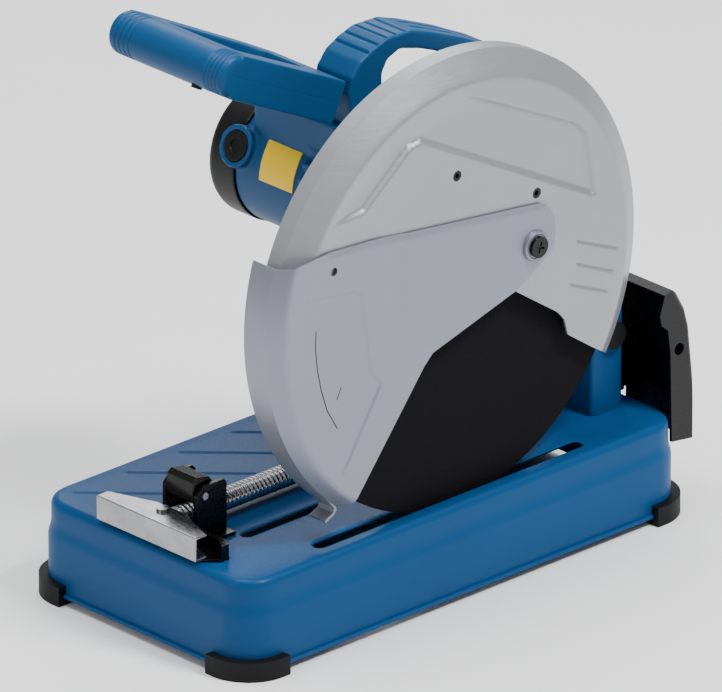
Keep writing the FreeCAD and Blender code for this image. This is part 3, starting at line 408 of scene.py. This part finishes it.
def inside(p, polygon):
    hit = False
    for i in range(len(polygon)):
        (x0, y0), (x1, y1) = polygon[i - 1], polygon[i]
        if (y0 > p[1]) != (y1 > p[1]) and p[0] < (x1 - x0) * (p[1] - y0) / (y1 - y0) + x0:
            hit = not hit
    return hit


def depth_in(p, polygon, width):
    """0 outside the outline, rising to 1 over width inside it."""
    if not inside(p, polygon):
        return 0.0
    near = min(segment_distance(p, polygon[i - 1], polygon[i]) for i in range(len(polygon)))
    return smoothstep(0.0, width, near)


def groove(p, points, width):
    """1 on a polyline's centre, 0 beyond half its width."""
    near = min(segment_distance(p, points[i], points[i + 1]) for i in range(len(points) - 1))
    return 1.0 - smoothstep(0.0, width / 2, near)


def rounded_crease(x, corner, before, after, soft):
    """Two straight slopes that meet at a corner, blended over a soft width."""
    t = (x - corner) / soft
    if t <= -1:
        return before * (x - corner)
    if t >= 1:
        return after * (x - corner)
    return soft * (before * -((1 - t) ** 2) + after * (1 + t) ** 2) / 4


def clip_to_circle(outline, cx, cz, radius, step):
    """Sample an outline closely and pull points outside the circle onto it, arc-wise."""
    out = []
    for i in range(len(outline)):
        (x0, z0), (x1, z1) = outline[i - 1], outline[i]
        n = max(1, int(math.hypot(x1 - x0, z1 - z0) / step))
        for k in range(n):
            out.append((x0 + (x1 - x0) * k / n, z0 + (z1 - z0) * k / n))
    ring = []
    for x, z in out:
        r = math.hypot(x - cx, z - cz)
        if r > radius:
            x, z = cx + (x - cx) * radius / r, cz + (z - cz) * radius / r
        if not ring or math.hypot(x - ring[-1][0], z - ring[-1][1]) > step * 0.3:
            ring.append((x, z))
    return ring


def guard_shell(name, outline, centre, radius, flat_radius, y_face, y_crease, y_back, thick, relief, holes,
                spacing, lines):
    """Pressed guard: a face with relief, a sloping shoulder and a rolled rim."""
    cx, cz = centre
    edge = clip_to_circle(outline, cx, cz, radius, 2.5)
    points = [Vector(p) for p in edge]
    constraint = [(i, (i + 1) % len(edge)) for i in range(len(edge))]
    for hx, hz, hr in holes:
        start = len(points)
        points += [Vector((hx + hr * math.cos(a * math.pi / 12), hz + hr * math.sin(a * math.pi / 12)))
                   for a in range(24)]
        constraint += [(start + a, start + (a + 1) % 24) for a in range(24)]
    rings = [flat_radius + d for d in (-4, -2, -0.8, 0.8, 2, 5, 9)] + [radius - 3.0, radius - 1.2]
    for r in rings:
        for k in range(300):
            a = 2 * math.pi * k / 300
            points.append(Vector((cx + r * math.cos(a), cz + r * math.sin(a))))
    for a, b in lines:
        run = Vector(b) - Vector(a)
        across = Vector((-run.y, run.x)).normalized()
        for k in range(int(run.length / 1.7)):
            at = Vector(a) + run * (k * 1.7 / run.length)
            if (at - Vector(centre)).length < flat_radius - 5:
                points += [at + across * offset for offset in (0, -1.4, 1.4, -2.8, 2.8, -4.2, 4.2, -5.6, 5.6)]
    reach = flat_radius - 6
    rows = int(reach / (spacing * 0.866)) + 1
    for j in range(-rows, rows + 1):
        for i in range(-int(reach / spacing) - 1, int(reach / spacing) + 2):
            x, z = (i + 0.5 * (j % 2)) * spacing, j * spacing * 0.866
            if math.hypot(x, z) < reach:
                points.append(Vector((cx + x, cz + z)))
    fixed = len(edge) + 24 * len(holes)
    kept = list(points[:fixed])
    cell = {}
    for p in kept:
        cell.setdefault((round(p.x / 4), round(p.y / 4)), []).append(p)
    for p in points[fixed:]:
        if not inside(p, edge):
            continue
        key = (round(p.x / 4), round(p.y / 4))
        near = [q for dx in (-1, 0, 1) for dz in (-1, 0, 1) for q in cell.get((key[0] + dx, key[1] + dz), [])]
        if all((p - q).length > 1.1 for q in near):
            kept.append(p)
    coords, _, faces, *_ = delaunay_2d_cdt(kept, constraint, [], 0, 1e-4)
    bm = bmesh.new()
    rise = (y_crease - y_face) / (radius - flat_radius)
    verts = []
    for p in coords:
        r = math.hypot(p.x - cx, p.y - cz)
        y = y_face + rounded_crease(r, flat_radius, 0.0, rise, 2.5) + relief((p.x, p.y), r)
        verts.append(bm.verts.new(Vector((p.x, y, p.y)) * MM))
    for f in faces:
        mid = sum((coords[i] for i in f), Vector((0, 0))) / len(f)
        if inside(mid, edge) and all(math.hypot(mid.x - hx, mid.y - hz) > hr for hx, hz, hr in holes):
            bm.faces.new([verts[i] for i in f])
    loose = [v for v in bm.verts if not v.link_faces]
    bmesh.ops.delete(bm, geom=loose, context="VERTS")
    rim = [e for e in bm.edges if e.is_boundary and all(
        math.hypot(v.co.x / MM - cx, v.co.z / MM - cz) > radius - 0.2 for v in e.verts)]
    for level in (y_crease + 0.6, y_crease + 3, (y_crease + y_back) / 2, y_back):
        made = bmesh.ops.extrude_edge_only(bm, edges=rim)["geom"]
        for v in made:
            if isinstance(v, bmesh.types.BMVert):
                v.co.y = level * MM
        rim = [e for e in made if isinstance(e, bmesh.types.BMEdge)]
    bmesh.ops.recalc_face_normals(bm, faces=bm.faces)
    front = [f for f in bm.faces if abs(f.normal.y) > 0.9]
    if sum(f.normal.y for f in front) > 0:
        bmesh.ops.reverse_faces(bm, faces=bm.faces)
    sheet = bpy.data.meshes.new(name + "_sheet")
    bm.to_mesh(sheet)
    bm.free()
    return settled(sheet, [("SOLIDIFY", {"thickness": thick * MM, "offset": -1.0})])


# --------------------------------------------------------------- guards -----
UPPER_EDGE = [(-280, 356), (-140, 303), (-38, 285), (-30, 282), (28, 282), (38, 262), (54, 235),
              (99, 204), (106, 196), (110, 182), (137, 163), (240, 98), (320, 98), (320, 520), (-320, 520)]
LOWER_EDGE = [(-260, 323.5), (-180, 323.5), (-143, 326.5), (-92, 323), (-57, 318), (66, 303.3),
              (79, 301.5), (87, 296), (92.5, 287), (93.5, 275), (91.4, 262), (88, 258), (51.3, 237),
              (-36, 212), (-45.5, 203), (-118, 111.5), (-125.5, 109.6), (-200, 49), (-300, 49)]
PANEL = [(-8, 420), (119, 357), (131, 345), (141, 290), (134, 290), (-45, 386), (-56, 384), (-104, 346),
         (-200, 340), (-200, 420), (-60, 450)]
LOUVRES = [[(120, 257), (164, 238)], [(120, 238), (160, 220)], [(113, 223), (154, 205)]]
LOW_PANEL = [(-230, 303), (-120, 289), (-109, 283), (-99, 215), (-88, 203), (-128, 140), (-150, 120),
             (-240, 120)]
TURN_ARC = [(-157, 266), (-157.5, 250), (-155.5, 233), (-151.5, 215), (-145.5, 197), (-135, 179)]
TICK = [(-135.5, 203), (-131, 212)]
UPPER_CENTRE, LOWER_CENTRE = (0, 249), (0, 262)
LOW_FACE = -115
PIN_X, PIN_Z = 71.3, 269.0      # where the lower guard is hinged


def upper_relief(p, r):
    x = p[0]
    fade = max(smoothstep(0, 24, 172.7 - r), smoothstep(-30, 50, x))
    if r < 176 or x < 60:
        sunk = 3.6 * depth_in(p, PANEL, 5.0) * fade
    else:
        sunk = 0.0
    return sunk + 1.2 * max(groove(p, line, 4.0) for line in LOUVRES)


def lower_relief(p, r):
    fade = smoothstep(0, 22, 189.5 - r)
    sunk = 1.15 * depth_in(p, LOW_PANEL, 2.8) * fade
    flute = 0.5 * smoothstep(-90, -84, p[0]) * (1 - smoothstep(-66, -60, p[0])) * smoothstep(246, 262, p[1])
    top = min(segment_distance(p, LOWER_EDGE[i], LOWER_EDGE[i + 1]) for i in range(2, 6))
    roll = 0.9 * (1 - smoothstep(0.0, 5.5, top))
    return sunk + flute + roll


def edges_of(polygon):
    """Sides of a closed outline."""
    return [(polygon[i - 1], polygon[i]) for i in range(len(polygon))]


def ribbon(bm, line, width, surface):
    """Thin black strip that lies on a pressed face: painted shade where an engraved line's groove would be
    dark.
    """
    pairs = []
    for i, (x, z) in enumerate(line):
        before, after = line[max(i - 1, 0)], line[min(i + 1, len(line) - 1)]
        run = Vector((after[0] - before[0], after[1] - before[1])).normalized()
        for side in (-1, 1):
            px, pz = x - run.y * side * width / 2, z + run.x * side * width / 2
            pairs.append([bm.verts.new(Vector((px, surface(px, pz) + lift, pz)) * MM)
                          for lift in (-0.12, 0.1)])
    for i in range(0, len(pairs) - 2, 2):
        a, b, c, d = pairs[i], pairs[i + 1], pairs[i + 3], pairs[i + 2]
        bm.faces.new((a[0], b[0], c[0], d[0]))
        bm.faces.new((a[1], d[1], c[1], b[1]))
        bm.faces.new((a[0], d[0], d[1], a[1]))
        bm.faces.new((b[0], b[1], c[1], c[0]))
    for a, b in ((pairs[0], pairs[1]), (pairs[-1], pairs[-2])):
        bm.faces.new((a[0], a[1], b[1], b[0]))


def dense(line, step=3.0):
    """Polyline with extra points about every step."""
    out = []
    for a, b in zip(line, line[1:]):
        n = max(1, int(math.hypot(b[0] - a[0], b[1] - a[1]) / step))
        out += [(a[0] + (b[0] - a[0]) * k / n, a[1] + (b[1] - a[1]) * k / n) for k in range(n)]
    return out + [line[-1]]


def low_surface(x, z):
    """Level of the lower guard's outer face."""
    return LOW_FACE + lower_relief((x, z), math.hypot(x, z - LOWER_CENTRE[1]))


def make_guards():
    mesh = guard_shell("upper_guard_shell", UPPER_EDGE, UPPER_CENTRE, 192.5, 172.7, -112, -99, -84, 2.0,
                       upper_relief, [(-8, 349, 4.4), (76, 310, 4.4), (PIN_X, PIN_Z, 4.2)], 2.6,
                       edges_of(PANEL) + [tuple(line) for line in LOUVRES])
    adopt("upper_guard_shell", mesh, "guard_metal", "arm", "guard_metal", "upper_guard")
    mesh = guard_shell("lower_guard_shell", LOWER_EDGE, LOWER_CENTRE, 199, 189.5, LOW_FACE, -102.5, -79,
                       1.5, lower_relief, [(-139.3, 310, 3.5), (PIN_X, PIN_Z, 8.6)], 2.4,
                       edges_of(LOW_PANEL))
    bm = bmesh.new()
    bm.from_mesh(mesh)
    lathe(bm, [(5.2, 2.0), (5.2, 2.7), (9.2, 2.4), (10.0, 3.0), (11.2, 3.0), (12.0, 2.4), (12.6, 0.4),
               (12.6, -0.9), (5.2, -0.9), (5.2, 2.0)], (PIN_X, LOW_FACE, PIN_Z), (0, -1, 0), 72)
    prism(bm, [(-134.5, 119), (-125.6, 110), (-124.5, 104), (-127, 101), (-136, 97), (-137, 99),
               (-128.5, 103), (-127, 106.5), (-136.5, 118)], -102, -85)
    add_piece("lower_guard_shell", bm, "lower_guard_metal", "lower_guard", "lower_guard_metal", "lower_guard")
    # Turning arc and its tick: flush black strips, painted shade for an engraved line whose groove is not cut
    bm = bmesh.new()
    ribbon(bm, dense(TURN_ARC), 0.8, low_surface)
    ribbon(bm, dense(TICK), 0.7, low_surface)
    add_piece("guard_arc_groove_shade", bm, "black_plastic", "lower_guard", "black_plastic")


# ----------------------------------------------------------------- base -----
TRAY_CENTRE = (-4.0, -2.0)
TRAY_HALF = (236.0, 123.0)
RIM = 33.0                      # corner radius at the flange
TABLE_Z = 80.0
EDGE_IN, EDGE_R = 11.5, 6.5     # where the rim's curve starts, and its radius
SIDE_STEPS = {12: 16, 25: 8, 38: 16, 51: 8}
SLOTS = [(-146, 136, -100, 5.5), (-172, 142, -48, 4.75)]
TABLE_HOLES = [(224, -36, 2.5), (224, -18, 2.5), (191, -48, 4.0), (191, -15, 4.0), (191, 18, 4.0),
               (-198, 16, 3.0), (-180, 16, 3.0), (84, 10, 4.6), (160, -45, 3.0)]
RIBS = [((x, 98), (x + 68.6, 29.4)) for x in (-210, -155, -100, -45)]


def tray_loop(inset):
    """Rounded rectangle round the tray, a given distance inside its flange."""
    r = RIM - inset
    dx, dy = TRAY_HALF[0] - inset - r, TRAY_HALF[1] - inset - r
    out = []
    for cx, cy, turn in ((dx, dy, 0), (-dx, dy, 90), (-dx, -dy, 180), (dx, -dy, 270)):
        for k in range(13):
            a = math.radians(turn + 7.5 * k)
            out.append(Vector((cx + r * math.cos(a) + TRAY_CENTRE[0],
                               cy + r * math.sin(a) + TRAY_CENTRE[1])))
    ring = []
    for i, p in enumerate(out):
        q = out[(i + 1) % len(out)]
        steps = SIDE_STEPS.get(i, 1)
        ring += [p.lerp(q, k / steps) for k in range(steps)]
    return ring


def slot_loop(x0, x1, y, r, grow):
    """Round-ended slot, grown by a margin."""
    out = []
    for cx, turn in ((x1 - r, -90), (x0 + r, 90)):
        out += [(cx + (r + grow) * math.cos(math.radians(turn + 15 * k)),
                 y + (r + grow) * math.sin(math.radians(turn + 15 * k))) for k in range(13)]
    ring = []
    for i, a in enumerate(out):
        b = out[(i + 1) % len(out)]
        n = 24 if i % 13 == 12 else 1
        ring += [(a[0] + (b[0] - a[0]) * k / n, a[1] + (b[1] - a[1]) * k / n) for k in range(n)]
    return ring


def table_height(x, y):
    rise = max(1.2 * (1 - smoothstep(0.9, 2.6, segment_distance((x, y), a, b))) for a, b in RIBS)
    return TABLE_Z + rise


def make_base():
    """Pressed tray: flat table with rolled slots and ribs, rounded rim, stepped wall."""
    rim = tray_loop(EDGE_IN)
    kept = list(rim)
    constraint = [(i, (i + 1) % len(rim)) for i in range(len(rim))]
    holes = []
    for slot in SLOTS:
        holes.append([Vector(p) for p in slot_loop(*slot, 0.0)])
        for grow in (1.6, 3.2, 5.2):
            kept += [Vector(p) for p in slot_loop(*slot, grow)]
    for x, y, r in TABLE_HOLES:
        holes.append([Vector((x + r * math.cos(k * math.pi / 8), y + r * math.sin(k * math.pi / 8)))
                      for k in range(16)])
    for hole in holes:
        start = len(kept)
        kept += hole
        constraint += [(start + k, start + (k + 1) % len(hole)) for k in range(len(hole))]
    for a, b in RIBS:
        run = (Vector(b) - Vector(a)).normalized()
        side = Vector((-run.y, run.x))
        for k in range(-1, 34):
            for offset in (-5.2, -3.8, -2.7, -1.8, -0.9, 0.0, 0.9, 1.8, 2.7, 3.8, 5.2):
                kept.append(Vector(a) + run * (k * 3) + side * offset)
    for i in range(-20, 21):
        for j in range(-10, 11):
            p = Vector((i * 11.0, j * 11.0))
            away = all(segment_distance(p, a, b) > 9 for a, b in RIBS)
            if away and abs(p.x - TRAY_CENTRE[0]) < 218 and abs(p.y - TRAY_CENTRE[1]) < 105:
                kept.append(p)
    coords, _, faces, *_ = delaunay_2d_cdt(kept, constraint, [], 0, 1e-4)
    bm = bmesh.new()
    verts = [bm.verts.new(Vector((p.x, p.y, table_height(p.x, p.y))) * MM) for p in coords]
    rim_points = [(p.x, p.y) for p in rim]
    outlines = [[(p.x, p.y) for p in hole] for hole in holes]
    for f in faces:
        mid = sum((coords[i] for i in f), Vector((0, 0))) / len(f)
        if inside(mid, rim_points) and not any(inside(mid, hole) for hole in outlines):
            bm.faces.new([verts[i] for i in f])
    bmesh.ops.delete(bm, geom=[v for v in bm.verts if not v.link_faces], context="VERTS")
    for v in bm.verts:
        if any(min(segment_distance(v.co / MM, hole[i - 1], hole[i]) for i in range(len(hole))) < 0.01
               for hole in outlines[:2]):
            v.co.z -= 0.9 * MM
    bm.verts.ensure_lookup_table()
    ring = [min(bm.verts, key=lambda v, p=p: (v.co.xy / MM - p).length) for p in rim]
    profile = [(EDGE_IN - EDGE_R * math.sin(math.radians(a)),
                TABLE_Z - EDGE_R + EDGE_R * math.cos(math.radians(a))) for a in range(15, 91, 15)]
    profile += [(5, 66), (5, 61), (4.7, 58.5), (3.75, 55), (2.8, 51.5), (2.5, 49), (2.5, 30), (2.5, 12),
                (2.5, 7)]
    for inset, z in profile:
        loop = [bm.verts.new(Vector((p.x, p.y, z)) * MM) for p in tray_loop(inset)]
        for i in range(len(ring)):
            j = (i + 1) % len(ring)
            bm.faces.new((ring[i], ring[j], loop[j], loop[i]))
        ring = loop
    bmesh.ops.recalc_face_normals(bm, faces=bm.faces)
    top = sum(f.normal.z for f in bm.faces if abs(f.normal.z) > 0.9)
    if top < 0:
        bmesh.ops.reverse_faces(bm, faces=bm.faces)
    sheet = bpy.data.meshes.new("tray_sheet")
    bm.to_mesh(sheet)
    bm.free()
    sheet = settled(sheet, [("SOLIDIFY", {"thickness": 2.3 * MM, "offset": -1.0})])
    bm = bmesh.new()
    bm.from_mesh(sheet)
    lip = [(0.4, 9), (2.9, 9), (2.9, 6), (0.4, 6), (0.1, 6.3), (0.0, 7.5), (0.1, 8.7)]
    rings = [[bm.verts.new(Vector((p.x, p.y, z)) * MM) for p in tray_loop(inset)] for inset, z in lip]
    for k in range(len(lip)):
        a, b = rings[k], rings[(k + 1) % len(lip)]
        for i in range(len(a)):
            j = (i + 1) % len(a)
            bm.faces.new((a[i], a[j], b[j], b[i]))
    add_piece("base_tray", bm, "blue_paint", "base", "blue_paint", "base_shell")


# ----------------------------------------------------------------- vise -----
def make_vise():
    """Threaded spindle with a real helix."""
    bm = bmesh.new()
    steps, pitch, x0, x1 = 32, 4.2, -208.0, 7.0
    columns = int((x1 - x0) / (pitch / 8))
    rings = []
    for i in range(columns + 1):
        x = x0 + (x1 - x0) * i / columns
        ends = min(1.0, (x - x0) / 1.5, (x1 - x) / 1.5)
        ring = []
        for j in range(steps):
            phase = (x / pitch - j / steps) % 1.0
            crest = smoothstep(0.0, 0.36, 0.5 - abs(phase - 0.5))
            r = 7.3 + 1.65 * crest * ends
            a = 2 * math.pi * j / steps
            ring.append(bm.verts.new(Vector((x, -8.5 + r * math.cos(a), 92 + r * math.sin(a))) * MM))
        rings.append(ring)
    for a, b in zip(rings, rings[1:]):
        for j in range(steps):
            k = (j + 1) % steps
            bm.faces.new((a[j], a[k], b[k], b[j]))
    bm.faces.new(rings[0])
    bm.faces.new(rings[-1][::-1])
    lathe(bm, [(0, -208.2), (6.6, -208.2), (7, -208.8), (7, -223.4), (6.4, -224), (0, -224)],
          (0, -8.5, 92), (1, 0, 0), 48)
    lathe(bm, [(0, 6.8), (6, 6.8), (6, 27), (5, 28), (0, 28)], (0, -8.5, 92), (1, 0, 0), 48)
    add_piece("vise_spindle", bm, "steel", "vise", "steel", "vise_screw")


# ------------------------------------------------------------- CAD nodes ----
def round_edges(node, width, angle=28, segments=2):
    """Small rounded edges on a carried-over node."""
    obj = nodes[node]
    weld = obj.modifiers.new("weld", "WELD")
    weld.merge_threshold = 1e-6
    bevel = obj.modifiers.new("edges", "BEVEL")
    bevel.width = width * MM
    bevel.segments = segments
    bevel.limit_method = "ANGLE"
    bevel.angle_limit = math.radians(angle)
    bevel.miter_outer = "MITER_ARC"
    normal = obj.modifiers.new("normals", "WEIGHTED_NORMAL")
    normal.keep_sharp = False
    normal.weight = 60


def dress_nodes():
    slots = {part["node"]: part["material_slot"] for part in frame["record"]["subparts"]}
    for name, obj in nodes.items():
        for index in range(len(obj.material_slots)):
            obj.material_slots[index].material = materials[slots[name]]
    for name, width in (("spark_hood", 0.8), ("vise_bracket", 0.7), ("vise_shoe", 0.8),
                        ("release_lever", 0.8), ("column", 1.0), ("fence", 0.6),
                        ("clamp_foot", 0.6), ("bracket_bolts", 0.4), ("hood_screws", 0.5),
                        ("column_bolts", 0.5), ("fence_bolts", 0.5), ("pivot_caps", 1.0),
                        ("lock_pin", 0.8), ("foot_front_right", 1.2), ("foot_front_left", 1.2),
                        ("foot_rear_right", 1.2), ("foot_rear_left", 1.2), ("lock_off_button", 0.6),
                        ("spindle_lock_button", 0.8), ("trigger", 1.0), ("abrasive_disc", 0.3),
                        ("guard_pivot_screw", 0.3), ("guard_screws", 0.4)):
        round_edges(name, width)


# ------------------------------------------------------------ housings ------
TILT = math.radians(26.0)
LOOP_NORMAL = Vector((math.sin(TILT), 0, math.cos(TILT)))
GRIP_CENTRE = Vector((-143.0, 0, 438.5))
MOTOR_X, MOTOR_Z = 10.0, 296.98
LOCK_X, LOCK_Z = 182.0, 128.0
GRIP_RINGS = (-6.5, -2.5, 1.5, 5.5, 90.0, 95.0, 100.0, 105.0)


def near_plane(point):
    """Distance from the loop handle's parting plane."""
    return (point - GRIP_CENTRE).dot(LOOP_NORMAL)


def close_joint(bm, side):
    """Carry one handle half a little past the parting plane."""
    for v in bm.verts:
        if abs(near_plane(v.co / MM)) < 0.02:
            v.co -= LOOP_NORMAL * side * 1.2 * MM


def grip_grooves(point, normal):
    """Moulded rings round both ends of the grip."""
    spoke = Vector((point.x - GRIP_CENTRE.x, 0, point.z - GRIP_CENTRE.z))
    if spoke.length > 19 or spoke.length < 14 or abs(normal.y) > 0.6:
        return Vector((0, 0, 0))
    dip = max(1 - smoothstep(0.0, 1.7, abs(point.y - y)) for y in GRIP_RINGS)
    return spoke.normalized() * -0.9 * dip


def carry_details(point, normal):
    """Cross steps on the crown and two long slots down the bar."""
    if normal.z < 0.3:
        return Vector((0, 0, 0))
    dip = 0.0
    if point.z > 400 and -12 < point.x < 44:
        dip = max(1 - smoothstep(0.0, 2.0, abs(point.x - x)) for x in (-6, 4, 14, 24, 34))
        dip *= 1 - smoothstep(17, 20, abs(point.y - 7))
    if 48 < point.x < 150 and point.z > 345:
        ends = smoothstep(48, 52, point.x) * (1 - smoothstep(146, 150, point.x))
        dip = ends * max(1 - smoothstep(0.8, 2.4, abs(point.y - y)) for y in (0.5, 13.5))
    return normal * -1.5 * dip


def open_pin_bore(point, normal):
    """Keep the lock pin's bore clear after smoothing."""
    spoke = Vector((point.x - LOCK_X, 0, point.z - LOCK_Z))
    if point.y < -10 or not 0.1 < spoke.length < 4.6:
        return Vector((0, 0, 0))
    return spoke.normalized() * (4.6 - spoke.length)


def motor_ribs(bm):
    """Cooling ribs along the front of the motor housing."""
    for degrees in (4, 17, 30, 43, 56):
        a = math.radians(degrees)
        x, z = MOTOR_X - 54.5 * math.cos(a), MOTOR_Z + 54.5 * math.sin(a)
        block(bm, x - 3, x + 3, -28, 26, z - 2.2, z + 2.2)


def make_housings():
    moulded("carry_handle", "carry_handle_skin", 1.0, "arm", "blue_plastic", passes=30, reshape=carry_details)
    moulded("loop_handle_upper", "loop_handle_upper_skin", 1.0, "arm", "blue_plastic", passes=8,
            extra=lambda bm: close_joint(bm, 1), reshape=grip_grooves)
    moulded("loop_handle_lower", "loop_handle_lower_skin", 1.0, "arm", "blue_plastic", passes=8,
            extra=lambda bm: close_joint(bm, -1), reshape=grip_grooves)
    moulded("motor_housing", "motor_housing_skin", 1.2, "arm", "blue_plastic", extra=motor_ribs)
    moulded("end_cap", "end_cap_skin", 1.0, "arm", "black_plastic")
    moulded("gear_housing", "gear_housing_skin", 1.2, "arm", "cast_metal")
    moulded("arm_casting", "arm_casting_skin", 1.2, "arm", "blue_paint", reshape=open_pin_bore)
    moulded("vise_handle", "vise_handle_skin", 0.6, "vise", "zinc", passes=3)
    bm = bmesh.new()
    tip = math.radians(23)
    for sign in (1, -1):
        axis = (-math.cos(tip) * sign, 0, math.sin(tip) * sign)
        lathe(bm, [(0, 56.6), (5, 56.6), (5.6, 57.8), (10.6, 58.4), (11.9, 58), (12.4, 57.2), (12.4, 47),
                   (0, 47)], (MOTOR_X, 97, MOTOR_Z), axis, 48)
    add_piece("brush_cap_discs", bm, "black_plastic", "arm", "black_plastic", "brush_caps")


materials = make_materials()
make_camera()
make_studio()
dress_nodes()
make_guards()
make_base()
make_vise()
make_housings()
